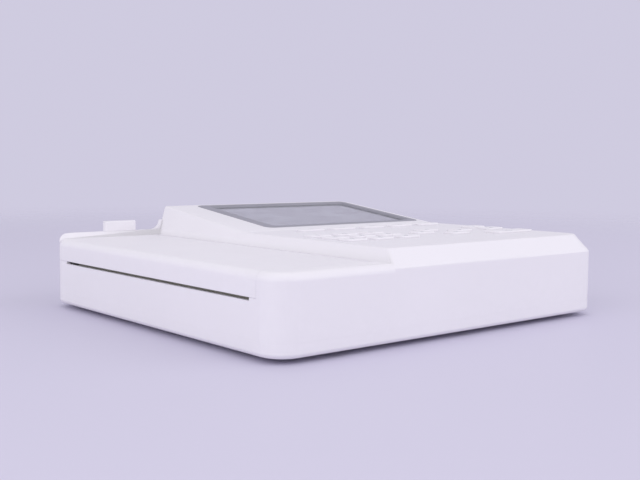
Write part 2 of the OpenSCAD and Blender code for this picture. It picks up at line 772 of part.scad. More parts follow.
// Spur gear with involute teeth, one tooth centred on +X
module spur(teeth, bore) {
  pitch = gear_m * teeth / 2;
  base = pitch * cos(20);
  root = pitch - 1.25 * gear_m;
  tip = pitch + 0.9 * gear_m;
  low = max(base, root);
  steps = [low, (low + pitch) / 2, pitch, (pitch + tip) / 2, tip];
  linear_extrude(gear_w) difference() {
    polygon([for (i = [0:teeth - 1]) let (mid = i * 360 / teeth)
      each concat(
        [[root * cos(mid - 140 / teeth), root * sin(mid - 140 / teeth)]],
        [for (r = steps) let (a = mid - tooth_half(r, pitch, base, teeth)) [r * cos(a), r * sin(a)]],
        [for (j = [4:-1:0]) let (r = steps[j], a = mid + tooth_half(r, pitch, base, teeth))
          [r * cos(a), r * sin(a)]],
        [[root * cos(mid + 140 / teeth), root * sin(mid + 140 / teeth)]])]);
    circle(bore);
  }
}

// Turns a gear drawn in the XY plane into the XZ plane
module gear_place(x, z, turn)
  translate([x, gear_y + gear_w, z]) rotate([90, 0, 0]) rotate([0, 0, turn]) children();

// Gear pressed on the front end of the roller shaft
module platen_gear() color("ivory") placed()
  gear_place(platen_x, platen_z, to_idler) spur(platen_teeth, shaft_r);

idler_pin_r = 1.5;

// Gear between the motor and the roller, on a pin of the frame
module idler_gear() color("ivory") placed()
  gear_place(idler_x, idler_z, idler_turn) spur(idler_teeth, idler_pin_r + run_gap);

motor_shaft_r = 1;
motor_boss_r = 3;

// Brass pinion of the motor
module motor_pinion() color("goldenrod") placed()
  gear_place(motor_x, motor_z, pinion_turn) spur(pinion_teeth, motor_shaft_r + run_gap);

// Stepper motor behind the front cheek, its shaft through the cheek
module stepper_motor() {
  y0 = cheek_y0 + cheek_t;
  color(steel) placed() {
    translate([motor_x, y0, motor_z]) bar_y(motor_r, motor_l);
    translate([motor_x, y0 - cheek_t, motor_z]) bar_y(motor_boss_r, cheek_t + 0.1);
    translate([motor_x, gear_y, motor_z]) bar_y(motor_shaft_r, cheek_y0 - gear_y + 1);
    translate([motor_x - 5, y0 + motor_l - 6, motor_z - motor_r + 0.5]) cube([10, 7.5, 4]);
  }
}

roll_rest_r = 3;
roll_rest_gap = 0.1;

// Printer frame: floor tray and two cheeks that carry head, motor, idler and paper roll
module printer_frame() {
  cheek_top = platen_z + 4;
  x0 = wall + 2;
  x1 = hinge_end - 1.5;
  x_tray = seat_x1 - 0.5;
  color([0.8, 0.8, 0.82]) placed() difference() {
    union() {
      translate([x_tray, cheek_y0, frame_z]) cube([x1 - x_tray, cheek_y1 + cheek_t - cheek_y0, tray_t]);
      for (y = [cheek_y0, cheek_y1]) translate([x0, y, frame_z])
        cube([x1 - x0, cheek_t, cheek_top - frame_z]);
      translate([x0, cheek_y1 - 6, frame_z]) cube([motor_x + motor_r, 6.1, 1.4]);
      // Seats for the head springs
      for (y = spring_places) translate([spring_x - 4, y - 4, frame_z])
        cube([seat_x1 - spring_x + 4, 8, spring_low - frame_z]);
      translate([idler_x, gear_y, idler_z]) bar_y(idler_pin_r, cheek_y0 - gear_y + 0.5);
    }
    for (y = [cheek_y0 - cut, cheek_y1 - cut]) {
      // Open notch for the roller shaft
      translate([platen_x, y, platen_z]) bar_y(shaft_r + 2.8, cheek_t + 2 * cut);
      translate([-cut, y, platen_z - shaft_r - 2.8]) cube([platen_x + cut, cheek_t + 2 * cut, 20]);
      translate([platen_x - cut, y, platen_z]) cube([shaft_r + 2.8 + cut, cheek_t + 2 * cut, 20]);
      // Open notch that the spindle drops into
      translate([roll_x, y, roll_z]) bar_y(roll_rest_r + roll_rest_gap, cheek_t + 2 * cut);
      translate([roll_x - roll_rest_r - roll_rest_gap, y, roll_z])
        cube([2 * (roll_rest_r + roll_rest_gap), cheek_t + 2 * cut, 30]);
      translate([pivot_x, y, pivot_z]) bar_y(pivot_r + run_gap, cheek_t + 2 * cut);
    }
    translate([motor_x, cheek_y0 - cut, motor_z]) bar_y(motor_boss_r + 0.1, cheek_t + 2 * cut);
    // Clear of the release hook
    translate([catch_x - 3, cheek_y1 - cut, catch_z - 3]) cube([18, cheek_t + 2 * cut, 20]);
  }
}

spring_x = platen_x;
spring_places = [for (i = [-1:1]) slot_y + slot_w / 2 + i * 61];
spring_low = 19;
bracket_z = 27.4;
bracket_t = 3;
pivot_x = platen_x + 11.5;
pivot_z = bracket_z + bracket_t / 2;
pivot_r = 1.2;

// Heated line on its ceramic strip
module print_head() {
  color([0.75, 0.73, 0.68]) placed() {
    translate([platen_x - 5, paper_y + 0.5, bracket_z + bracket_t])
      cube([15, paper_w - 1, slot_z + 0.6 - bracket_z - bracket_t]);
    translate([platen_x, paper_y + 1, slot_z + 0.4]) bar_y(0.3, paper_w - 2);
  }
}

// Aluminium carrier of the print head
module head_bracket() {
  color(steel) placed() {
    translate([platen_x - 6.5, paper_y + 0.2, bracket_z]) cube([19, paper_w - 0.4, bracket_t]);
    translate([platen_x + 10.5, paper_y + 0.2, bracket_z - 1.4]) cube([2, paper_w - 0.4, 1.5]);
    translate([pivot_x, cheek_y0 + 0.2, pivot_z]) bar_y(pivot_r, cheek_y1 + cheek_t - cheek_y0 - 0.4);
  }
}

// Coil spring along +Z swept as a thin tube
module coil(r, wire, turns, high) {
  rings = turns * 12;
  sides = 6;
  climb = atan2(high / turns, 2 * PI * r);
  points = [for (i = [0:rings], s = [0:sides - 1])
    let (a = i / rings * turns * 360, b = s * 360 / sides,
         out = wire * cos(b), up = wire * sin(b))
    [(r + out) * cos(a) + up * sin(climb) * sin(a), (r + out) * sin(a) - up * sin(climb) * cos(a),
     high * i / rings + up * cos(climb)]];
  faces = concat(
    [[for (s = [0:sides - 1]) s]],
    [for (i = [0:rings - 1], s = [0:sides - 1]) let (n = (s + 1) % sides)
      [i * sides + s, (i + 1) * sides + s, (i + 1) * sides + n, i * sides + n]],
    [[for (s = [sides - 1:-1:0]) rings * sides + s]]);
  polyhedron(points, faces);
}

// Three springs that press the head against the roller
module head_springs() {
  wire = 0.35;
  color(steel) placed() for (y = spring_places)
    translate([spring_x, y, spring_low + wire + 0.05])
      coil(2.5, wire, 5, bracket_z - spring_low - 2 * wire - 0.1);
}

// Serrated steel strip behind the lower lip of the slot
module tear_bar() {
  pitch = 3;
  teeth = floor((slot_w - 2) / pitch);
  high = slot_z - 8;
  color(steel) placed() translate([wall + 0.1, slot_y + 1, 0]) rotate([90, 0, 90])
    linear_extrude(0.8)
      polygon(concat([[0, high]],
        [for (i = [0:teeth - 1]) each [[i * pitch, slot_z - 0.8], [(i + 0.5) * pitch, slot_z - 0.1]]],
        [[teeth * pitch, slot_z - 0.8], [teeth * pitch, high]]));
}

core_gap = 0.3;

// Roll of thermal paper on its card core
module paper_roll() {
  color([0.96, 0.95, 0.93]) placed() difference() {
    translate([roll_x, paper_y + 0.5, roll_z]) bar_y(roll_r, paper_w - 1);
    translate([roll_x, paper_y - cut, roll_z]) bar_y(spindle_r + core_gap, paper_w + 2 * cut);
  }
}

// Spindle that carries the roll in the notches of the frame
module roll_spindle() {
  color(white) placed() {
    translate([roll_x, cheek_y0 + cheek_t + side_gap, roll_z])
      bar_y(spindle_r, cheek_y1 - cheek_y0 - cheek_t - 2 * side_gap);
    translate([roll_x, cheek_y0 - 1.5, roll_z]) bar_y(roll_rest_r, cheek_y1 - cheek_y0 + cheek_t + 3);
  }
}

// Optical sensor that sees the paper between roll and head
module paper_sensor() {
  color(dark) placed() {
    translate([seat_x1 + side_gap, slot_y + slot_w / 2 - 5, frame_z + tray_t]) cube([4, 10, 14]);
    translate([seat_x1 - 1, slot_y + slot_w / 2 - 3, spring_low + 0.5]) cube([2, 6, 2]);
  }
}

// Grey frame around the screen
module screen_frame() {
  color([0.55, 0.55, 0.6]) placed() on_slope() difference() {
    translate([frame_x, frame_y, frame_proud - frame_t]) slab(frame_l, frame_w, frame_t, frame_r);
    translate([view_x, view_y, frame_proud - frame_t - cut]) slab(view_l, view_w, frame_t + 2 * cut, view_r);
  }
}

window_lap = 2;
window_x = view_x - window_lap;
window_y = view_y - window_lap;
window_l = view_l + 2 * window_lap;
window_w = view_w + 2 * window_lap;

// Clear window under the frame
module screen_window() {
  color([0.7, 0.75, 0.8, 0.5]) placed() on_slope()
    translate([window_x, window_y, frame_proud - frame_t - window_t]) slab(window_l, window_w, window_t, 1.2);
}

// Display module under the window, against the inside of the housing
module lcd_module() {
  lap = 1.5;
  color([0.35, 0.38, 0.4]) placed() on_slope()
    translate([window_x - lap, window_y - lap, -wall - lcd_t])
      slab(window_l + 2 * lap, window_w + 2 * lap, lcd_t, 1);
}

mat_x = console_x + 5;
mat_y = key_row_y - 17;
mat_l = body_l - right_lean - 6 - mat_x;
mat_w = soft_y + 9 - mat_y;

// Silicone mat with a dome under each key
module key_mat() {
  color([0.8, 0.8, 0.82]) placed() difference() {
    union() {
      translate([mat_x, mat_y, mat_z]) slab(mat_l, mat_w, mat_t, 2);
      for (k = all_keys) translate([k[0], k[1], mat_z + 0.1])
        cylinder(r = 3, h = mat_t + dome_h - 0.1, $fn = 24);
    }
    for (p = key_board_posts) translate([p[0], p[1], mat_z - cut])
      cylinder(r = key_post_r + 0.4, h = mat_t + 2 * cut, $fn = 24);
  }
}

// Keyboard circuit board on the posts under the keyboard surface
module key_board() {
  color(board_green) placed() {
    difference() {
      translate([mat_x, mat_y, board_z]) slab(mat_l, mat_w, board_t, 2);
      for (p = key_board_posts) translate([p[0], p[1], board_z - cut])
        cylinder(r = 1.1, h = board_t + 2 * cut, $fn = 24);
    }
    translate([mat_x + mat_l / 2, mat_y + 4, board_z - 3]) cube([24, 6, 3.1]);
  }
}

// Main circuit board with its processor, chips and connectors
module main_board() {
  color(board_green) placed() translate([main_x, main_y, main_z]) {
    difference() {
      slab(main_l, main_w, board_t, 2);
      for (p = board_posts) translate([p[0] - main_x, p[1] - main_y, -cut])
        cylinder(r = 1.1, h = board_t + 2 * cut);
    }
    translate([30, main_w / 2 - 12, board_t]) cube([22, 22, 2.2]);
    for (x = [60, 78]) translate([x, main_w / 2 - 8, board_t]) cube([12, 18, 1.2]);
    translate([main_l - 38, 20, board_t]) cube([8, 26, 7]);
    translate([20, 10, board_t]) cube([40, 5.5, 6]);
    for (i = [0:3]) translate([main_l - 28, main_w - 44 + i * 9, board_t]) cylinder(r = 3.2, h = 8, $fn = 24);
  }
}

// Mains power supply: board, transformer, capacitors and heat sink
module power_supply() {
  color([0.75, 0.65, 0.3]) placed() translate([supply_x, supply_y, supply_z]) {
    cube([supply_l, supply_w, board_t]);
    translate([30, 22, board_t]) cube([24, 22, 17]);
    translate([62, 34, board_t]) cylinder(r = 8, h = 19, $fn = 32);
    translate([14, 30, board_t]) cylinder(r = 5, h = 16, $fn = 32);
    translate([10, 10, board_t]) cube([40, 2, 18]);
    translate([60, 12, board_t]) cube([14, 12, 10]);
  }
}

// Rechargeable battery in its well
module battery_pack() {
  color([0.25, 0.35, 0.6]) placed() {
    translate([battery_x, battery_y, battery_z]) slab(battery_l, battery_w, battery_h, 3);
    translate([battery_x + 20, battery_y + battery_w - 8, battery_z + battery_h - 0.1])
      cube([14, 6, 3]);
  }
}

// Cover over the battery well, flush with the underside
module battery_cover() {
  color(white) placed() difference() {
    union() {
      translate([battery_x - cover_lap, battery_y - cover_lap, foot_h])
        slab(cover_l, cover_w, cover_t - 0.1, 2.7);
      // Two ribs that the battery stands on
      for (y = [battery_y + 4, battery_y + battery_w - 6])
        translate([battery_x + 4, y, foot_h + cover_t - 0.2])
          cube([battery_l - 8, 2, battery_z - foot_h - cover_t + 0.2]);
    }
    for (p = cover_screws) translate([p[0], p[1], foot_h - cut]) {
      cylinder(r = screw_r + 0.2, h = cover_t + 2 * cut);
      cylinder(r = screw_r * 2 + 0.2, h = cut + 1);
    }
    // Finger grooves
    for (i = [0:3]) translate([battery_x + battery_l / 2 - 10, battery_y + 4 + i * 3, foot_h - cut])
      cube([20, 1.4, cut + 0.6]);
  }
}

fit_gap = 0.1;

// Steel plate in the back recess with the cut-outs of the connectors
module rear_panel() {
  low = plate_y - cut;
  deep = plate_t + 2 * cut;
  color(steel) placed() difference() {
    translate([back_x + fit_gap, plate_y, bay_z + fit_gap])
      cube([back_l - 2 * fit_gap, plate_t, bay_h - 2 * fit_gap]);
    translate([inlet_x - inlet_l / 2 - fit_gap, low, plate_mid - inlet_h / 2 - fit_gap])
      cube([inlet_l + 2 * fit_gap, deep, inlet_h + 2 * fit_gap]);
    translate([rocker_x - rocker_l / 2 - fit_gap, low, plate_mid - rocker_h / 2 - fit_gap])
      cube([rocker_l + 2 * fit_gap, deep, rocker_h + 2 * fit_gap]);
    translate([lan_x - fit_gap, low, lan_z - fit_gap]) cube([lan_l + 2 * fit_gap, deep, lan_h + 2 * fit_gap]);
    translate([usb_x - fit_gap, low, usb_z - fit_gap]) cube([usb_l + 2 * fit_gap, deep, usb_h + 2 * fit_gap]);
    translate([fuse_x, low, plate_mid]) bar_y(fuse_r + fit_gap, deep);
    translate([earth_x, low, plate_mid]) bar_y(earth_r + fit_gap, deep);
  }
}

socket_deep = 16;

// Mains inlet with its three contact pins
module mains_inlet() {
  pin_pitch = 7;
  color(dark) placed() translate([inlet_x, back_y, plate_mid]) {
    difference() {
      union() {
        translate([-inlet_l / 2, -socket_deep - 2, -inlet_h / 2]) cube([inlet_l, socket_deep + 2, inlet_h]);
        translate([-inlet_wide / 2, 0, -inlet_h / 2 - inlet_flange])
          cube([inlet_wide, 2, inlet_h + 2 * inlet_flange]);
      }
      translate([0, 3, 0]) rotate([90, 0, 0]) linear_extrude(socket_deep + 3)
        polygon([[-12, -8], [12, -8], [12, 4], [8, 8], [-8, 8], [-12, 4]]);
    }
    for (p = [[-pin_pitch, -2], [0, 2], [pin_pitch, -2]])
      translate([p[0] - 1, -socket_deep - 0.1, p[1] - 2]) cube([2, socket_deep - 2, 4]);
    for (x = [-8, 0, 8]) translate([x - 2.4, -socket_deep - 8, -0.4]) cube([4.8, 6.1, 0.8]);
  }
}

// Bayonet fuse holder
module fuse_holder() {
  color(dark) placed() translate([fuse_x, back_y, plate_mid]) {
    translate([0, -26, 0]) bar_y(fuse_r, 26.1);
    difference() {
      bar_y(fuse_r + fuse_flange, 5);
      translate([-4, 3.8, -0.6]) cube([8, cut + 1, 1.2]);
    }
  }
}

rocker_swing = 14;
rocker_r = 8;
rocker_axis_y = back_y - 2.5;
axle_r = 1;

// Rocker of the mains switch, resting on its lower half
module power_rocker() {
  thick = rocker_l - 3;
  color(dark) placed() translate([rocker_x - thick / 2, rocker_axis_y, plate_mid])
    rotate([-rocker_swing / 2, 0, 0]) difference() {
      rotate([90, 0, 90]) linear_extrude(thick)
        polygon([[-2.6, -3], [2.6, -rocker_r], [4.6, -rocker_r], [3.6, 0],
                 [4.6, rocker_r], [2.6, rocker_r], [-2.6, 3]]);
      translate([-cut, 0, 0]) rotate([0, 90, 0]) cylinder(r = axle_r + run_gap, h = thick + 2 * cut);
    }
}

// Frame of the mains switch with the axle of its rocker
module rocker_frame() {
  deep = 14;
  low = plate_mid - rocker_h / 2;
  left = rocker_x - rocker_l / 2;
  color(dark) placed() {
    difference() {
      union() {
        translate([left, back_y - deep, low]) cube([rocker_l, deep, rocker_h]);
        translate([left - rocker_flange, back_y, low - rocker_flange])
          cube([rocker_wide, 1.2, rocker_h + 2 * rocker_flange]);
      }
      translate([left + 1.2, back_y - deep + 4, low + 0.8]) cube([rocker_l - 2.4, deep, rocker_h - 1.6]);
    }
    translate([left + 0.6, rocker_axis_y, plate_mid]) rotate([0, 90, 0])
      cylinder(r = axle_r, h = rocker_l - 1.2);
  }
}

// Potential equalisation pin with its nut behind the plate
module earth_pin() {
  color(steel) placed() translate([earth_x, 0, plate_mid]) {
    translate([0, plate_y - 8, 0]) bar_y(earth_r, back_y + earth_l - plate_y + 8);
    translate([0, back_y, 0]) bar_y(earth_r + earth_flange, 0.8);
    translate([0, plate_y - 3, 0]) rotate([-90, 0, 0]) cylinder(r = earth_r + 2.5, h = 3, $fn = 6);
  }
}

// Network socket
module lan_port() {
  deep = 15;
  translate([lan_x, back_y - deep, lan_z]) difference() {
    cube([lan_l, deep + 0.5, lan_h]);
    translate([2, 3, 2.6]) cube([lan_l - 4, deep, 8]);
    translate([5, 3, 1]) cube([lan_l - 10, deep, 4]);
  }
}

// Data socket with its tongue
module usb_port() {
  deep = 13;
  rim = 0.5;
  translate([usb_x, back_y - deep, usb_z]) {
    difference() {
      cube([usb_l, deep + 0.5, usb_h]);
      translate([rim, 2, rim]) cube([usb_l - 2 * rim, deep, usb_h - 2 * rim]);
    }
    translate([1.5, 1.9, usb_h / 2]) cube([usb_l - 3, deep - 3, 1.8]);
  }
}

// The two sockets of the computer interface
module data_ports() color(steel) placed() {
  lan_port();
  usb_port();
}

// Fifteen-way socket for the patient cable with its two jack screws
module patient_connector() {
  deep = 10;
  pin_pitch = 2.75;
  jacks = [-jack_pitch / 2, jack_pitch / 2];
  color(steel) placed() translate([side_x0, patient_y, patient_z]) {
    difference() {
      union() {
        rotate([90, 0, 90]) mid_slab(patient_l, patient_h, 0.8, 2);
        translate([-deep, 0, 0]) rotate([90, 0, 90]) linear_extrude(deep + 5.8)
          polygon([[-12.6, -4.4], [-11.6, -5.2], [11.6, -5.2], [12.6, -4.4],
                   [11.8, 4.4], [10.8, 5.2], [-10.8, 5.2], [-11.8, 4.4]]);
        for (s = jacks) translate([-deep / 2, s, 0]) rotate([0, 90, 0]) {
          cylinder(r = 2, h = deep / 2 + 0.4);
          translate([0, 0, deep / 2]) cylinder(r = 2.7, h = 5, $fn = 6);
        }
      }
      for (i = [0:14]) translate([-1, ((i % 8) - (i < 8 ? 3.5 : 3)) * pin_pitch, i < 8 ? 1.5 : -1.5])
        rotate([0, 90, 0]) cylinder(r = 0.55, h = 9, $fn = 16);
      for (s = jacks) translate([-3, s, 0]) rotate([0, 90, 0]) cylinder(r = jack_hole_r, h = 9);
    }
  }
}

// Loudspeaker in its ring over the floor slots
module speaker() {
  color(dark) placed() translate([speaker_x, speaker_y, floor_z + 0.1]) {
    cylinder(r = speaker_r, h = 3);
    translate([0, 0, 2.9]) cylinder(r = speaker_r * 0.55, h = 3.5);
  }
}

// Four rubber feet in their seats
module rubber_feet() {
  color(dark) placed() for (p = foot_places) translate([p[0], p[1], 0]) difference() {
    union() {
      cylinder(r = foot_r - 1, h = 1);
      translate([0, 0, 0.9]) cylinder(r = foot_r, h = foot_h + 1 - 0.9);
    }
    translate([0, 0, -cut]) cylinder(r = 2.5, h = cut + 0.8);
  }
}

// Screw with a flat head and a hexagon socket, its head down
module screw(head, l) {
  difference() {
    union() {
      cylinder(r = screw_r * 2, h = head);
      cylinder(r = screw_r, h = l);
    }
    translate([0, 0, -cut]) cylinder(r = screw_r * 0.8, h = cut + 0.7, $fn = 6);
  }
}

// Six screws that hold the two cases together and two that hold the battery cover
module case_screws() {
  color(steel) placed() {
    for (p = screw_places) translate([p[0], p[1], foot_h + 0.4])
      screw(head_deep - 0.4, split_z + screw_bite - foot_h);
    for (p = cover_screws) translate([p[0], p[1], foot_h + 0.1]) screw(0.9, cover_screw_l);
  }
}

module soft_key(i) key_cap(soft_keys[i]);
module pad_key(i) key_cap(pad_keys[i]);
module side_key(i) key_cap(side_keys[i]);
module key_up() key_cap(nav_keys[0]);
module key_down() key_cap(nav_keys[1]);
module key_left() key_cap(nav_keys[2]);
module key_right() key_cap(nav_keys[3]);
module key_start() key_cap(start_key);

lower_case();
upper_case();
paper_door();
door_hinge_pins();
door_release();
platen_roller();
platen_shaft();
platen_gear();
idler_gear();
motor_pinion();
stepper_motor();
printer_frame();
print_head();
head_bracket();
head_springs();
tear_bar();
paper_roll();
roll_spindle();
paper_sensor();
screen_frame();
screen_window();
lcd_module();
key_mat();
key_board();
main_board();
power_supply();
battery_pack();
battery_cover();
rear_panel();
mains_inlet();
fuse_holder();
power_rocker();
rocker_frame();
earth_pin();
data_ports();
patient_connector();
speaker();
rubber_feet();
case_screws();
key_up();
key_down();
key_left();
key_right();
key_start();
for (i = [0:4]) soft_key(i);
for (i = [0:8]) pad_key(i);
for (i = [0:1]) side_key(i);
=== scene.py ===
import math

import bmesh
import bpy
from mathutils import Matrix, Vector


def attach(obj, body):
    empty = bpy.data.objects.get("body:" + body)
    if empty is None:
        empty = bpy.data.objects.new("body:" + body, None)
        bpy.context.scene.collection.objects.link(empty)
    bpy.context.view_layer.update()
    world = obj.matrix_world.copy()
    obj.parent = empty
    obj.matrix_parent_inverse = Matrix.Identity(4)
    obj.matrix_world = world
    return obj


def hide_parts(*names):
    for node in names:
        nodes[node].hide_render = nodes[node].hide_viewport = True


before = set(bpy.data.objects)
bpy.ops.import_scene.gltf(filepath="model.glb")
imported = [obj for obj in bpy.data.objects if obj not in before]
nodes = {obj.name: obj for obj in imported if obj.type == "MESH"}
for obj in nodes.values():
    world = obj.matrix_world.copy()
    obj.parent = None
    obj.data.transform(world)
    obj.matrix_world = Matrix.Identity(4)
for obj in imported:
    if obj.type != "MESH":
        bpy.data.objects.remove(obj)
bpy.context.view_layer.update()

# ---------------------------------------------------------------------------
# Camera: a short telephoto view over the front left corner, a little above the
# deck, so the left face with its paper slot and the front face both show.
eye = Vector((-0.4248, -0.5013, 0.1049))
heading, dip, roll = math.radians(40.22), math.radians(4.83), math.radians(0.48)
ahead = Vector((math.sin(heading) * math.cos(dip), math.cos(heading) * math.cos(dip), -math.sin(dip)))
level = Vector((math.cos(heading), -math.sin(heading), 0))
upright = level.cross(ahead)
across = math.cos(roll) * level + math.sin(roll) * upright
upward = -math.sin(roll) * level + math.cos(roll) * upright
camera_data = bpy.data.cameras.new("studio_camera")
camera_data.lens = 52.74
camera_data.sensor_width = 36
camera_data.clip_start = 0.01
camera_data.clip_end = 50
camera = bpy.data.objects.new("studio_camera", camera_data)
camera.matrix_world = Matrix((across, upward, -ahead)).transposed().to_4x4()
camera.location = eye
bpy.context.collection.objects.link(camera)
bpy.context.scene.camera = camera
bpy.context.scene.view_settings.view_transform = "Standard"

# ---------------------------------------------------------------------------
# Table and studio: a pale lavender table top that fades into the same pale
# backdrop, an even sky, and large soft boxes in front, at the left and above.
backdrop_colour = (0.625, 0.60, 0.745, 1)
table_colour = (0.62, 0.59, 0.73, 1)

sky = bpy.data.worlds.new("studio_sky")
bpy.context.scene.world = sky
sky.use_nodes = True
wires = sky.node_tree
wires.nodes.clear()
sky_out = wires.nodes.new("ShaderNodeOutputWorld")
sky_mix = wires.nodes.new("ShaderNodeMixShader")
sky_light = wires.nodes.new("ShaderNodeBackground")
sky_seen = wires.nodes.new("ShaderNodeBackground")
path = wires.nodes.new("ShaderNodeLightPath")
seen_a = wires.nodes.new("ShaderNodeMath")
seen_b = wires.nodes.new("ShaderNodeMath")
seen_a.operation = seen_b.operation = "MAXIMUM"
sky_light.inputs["Color"].default_value = (0.99, 0.985, 1.02, 1)
sky_light.inputs["Strength"].default_value = 0.77
sky_seen.inputs["Color"].default_value = backdrop_colour
sky_seen.inputs["Strength"].default_value = 1.0
wires.links.new(path.outputs["Is Camera Ray"], seen_a.inputs[0])
wires.links.new(path.outputs["Is Glossy Ray"], seen_a.inputs[1])
wires.links.new(seen_a.outputs[0], seen_b.inputs[0])
wires.links.new(path.outputs["Is Transmission Ray"], seen_b.inputs[1])
wires.links.new(seen_b.outputs[0], sky_mix.inputs[0])
wires.links.new(sky_light.outputs[0], sky_mix.inputs[1])
wires.links.new(sky_seen.outputs[0], sky_mix.inputs[2])
wires.links.new(sky_mix.outputs[0], sky_out.inputs["Surface"])


def soft_box(name, place, target, wide, high, watts):
    data = bpy.data.lights.new(name, "AREA")
    data.shape = "RECTANGLE"
    data.size, data.size_y = wide, high
    data.energy = watts
    lamp = bpy.data.objects.new(name, data)
    lamp.location = place
    lamp.rotation_euler = (Vector(target) - Vector(place)).to_track_quat("-Z", "Y").to_euler()
    bpy.context.collection.objects.link(lamp)
    return lamp


soft_box("front_soft_box", (1.15, -1.5, 0.95), (0.1, 0, 0.03), 2.2, 1.7, 15.5)
soft_box("left_soft_box", (-1.6, -0.35, 0.75), (0, 0, 0.03), 1.5, 1.2, 10.2)
soft_box("top_soft_box", (0.5, 0.3, 2.2), (0, 0, 0.03), 1.6, 1.6, 1)

table_rings = [0.3, 0.6, 1.0, 1.5, 2.2, 3.0]
around = 64
table_mesh = bpy.data.meshes.new("table_top")
table_points = [(0, 0, 0)]
table_faces = []
for r in table_rings:
    table_points += [(r * math.cos(2 * math.pi * i / around), r * math.sin(2 * math.pi * i / around), 0)
                     for i in range(around)]
for i in range(around):
    table_faces.append((0, 1 + i, 1 + (i + 1) % around))
for k in range(len(table_rings) - 1):
    for i in range(around):
        a, b = 1 + k * around + i, 1 + k * around + (i + 1) % around
        table_faces.append((a, a + around, b + around, b))
table_mesh.from_pydata(table_points, [], table_faces)
table = bpy.data.objects.new("table_top", table_mesh)
bpy.context.collection.objects.link(table)
table_look = bpy.data.materials.new("pale_table")
table_look.use_nodes = True
wires = table_look.node_tree
wires.nodes.clear()
out = wires.nodes.new("ShaderNodeOutputMaterial")
fade = wires.nodes.new("ShaderNodeMixShader")
clear = wires.nodes.new("ShaderNodeBsdfTransparent")
laminate = wires.nodes.new("ShaderNodeBsdfPrincipled")
where = wires.nodes.new("ShaderNodeTexCoord")
reach = wires.nodes.new("ShaderNodeVectorMath")
reach.operation = "LENGTH"
span = wires.nodes.new("ShaderNodeMapRange")
span.interpolation_type = "SMOOTHERSTEP"
span.inputs["From Min"].default_value = 0.35
span.inputs["From Max"].default_value = 1.7
mottle = wires.nodes.new("ShaderNodeTexNoise")
mottle.inputs["Scale"].default_value = 3
tone = wires.nodes.new("ShaderNodeMapRange")
tone.inputs["To Min"].default_value = 0.38
tone.inputs["To Max"].default_value = 0.5
laminate.inputs["Base Color"].default_value = table_colour
laminate.inputs["Specular IOR Level"].default_value = 0.3
wires.links.new(where.outputs["Object"], reach.inputs[0])
wires.links.new(reach.outputs["Value"], span.inputs["Value"])
wires.links.new(where.outputs["Object"], mottle.inputs["Vector"])
wires.links.new(mottle.outputs["Fac"], tone.inputs["Value"])
wires.links.new(tone.outputs["Result"], laminate.inputs["Roughness"])
wires.links.new(span.outputs["Result"], fade.inputs[0])
wires.links.new(laminate.outputs[0], fade.inputs[1])
wires.links.new(clear.outputs[0], fade.inputs[2])
wires.links.new(fade.outputs[0], out.inputs["Surface"])
table_mesh.materials.append(table_look)

# ---------------------------------------------------------------------------
# Lower case: one white ABS injection moulding, floor and low walls in one, with
# the finely eroded satin skin that such medical housings have. Screw bosses,
# board posts and the loudspeaker slots are moulded in.
case_l, case_w, corner_r = 280, 263, 15


def effect(name, takes, gives):
    """An empty shader node group with named inputs and outputs."""
    made = bpy.data.node_groups.new(name, "ShaderNodeTree")
    for label, kind, value in takes:
        socket = made.interface.new_socket(name=label, in_out="INPUT", socket_type=kind)
        socket.default_value = value
    for label, kind in gives:
        made.interface.new_socket(name=label, in_out="OUTPUT", socket_type=kind)
    return made, made.nodes.new("NodeGroupInput"), made.nodes.new("NodeGroupOutput")


def feed(tree, value, socket):
    """Sets a socket to a number or colour, or links it to another node's output."""
    if isinstance(value, bpy.types.NodeSocket):
        tree.links.new(value, socket)
    else:
        socket.default_value = value


def noise(tree, vector, scale, detail=2.0, rough=0.5):
    made = tree.nodes.new("ShaderNodeTexNoise")
    for label, value in (("Vector", vector), ("Scale", scale), ("Detail", detail), ("Roughness", rough)):
        feed(tree, value, made.inputs[label])
    return made.outputs["Fac"]


def remap(tree, value, low, high, from_low=0.0, from_high=1.0):
    made = tree.nodes.new("ShaderNodeMapRange")
    for label, bound in (("Value", value), ("From Min", from_low), ("From Max", from_high),
                         ("To Min", low), ("To Max", high)):
        feed(tree, bound, made.inputs[label])
    return made.outputs["Result"]


def reckon(tree, operation, first, second):
    """The outcome of a Math node on two numbers or outputs."""
    made = tree.nodes.new("ShaderNodeMath")
    made.operation = operation
    feed(tree, first, made.inputs[0])
    feed(tree, second, made.inputs[1])
    return made.outputs[0]


def blend(tree, factor, first, second):
    """A colour that runs from the first to the second with the factor."""
    made = tree.nodes.new("ShaderNodeMix")
    made.data_type = "RGBA"
    for label, value in (("Factor", factor), ("A", first), ("B", second)):
        feed(tree, value, made.inputs[label])
    return made.outputs["Result"]


def shade(tree, colour, amount):
    """The colour times a grey value."""
    made = tree.nodes.new("ShaderNodeVectorMath")
    made.operation = "SCALE"
    tree.links.new(colour, made.inputs[0])
    tree.links.new(amount, made.inputs["Scale"])
    return made.outputs["Vector"]


# The skin of a moulding: slow drift of tone, handling haze in the gloss and the
# fine pits left by the eroded mould.
moulded_skin, into, outof = effect(
    "moulded_skin",
    [("Colour", "NodeSocketColor", (0.8, 0.8, 0.8, 1)), ("Drift", "NodeSocketFloat", 0.03),
     ("Gloss Low", "NodeSocketFloat", 0.3), ("Gloss High", "NodeSocketFloat", 0.45),
     ("Pit Scale", "NodeSocketFloat", 2200.0)],
    [("Colour", "NodeSocketColor"), ("Roughness", "NodeSocketFloat"), ("Height", "NodeSocketFloat")])
g = moulded_skin
spot = g.nodes.new("ShaderNodeTexCoord").outputs["Object"]
drift = remap(g, noise(g, spot, 9.0, 3.0), 0.0, into.outputs["Drift"], 0.3, 0.7)
g.links.new(shade(g, into.outputs["Colour"], reckon(g, "SUBTRACT", 1.0, drift)), outof.inputs["Colour"])
haze = noise(g, spot, 38.0, 4.0, 0.6)
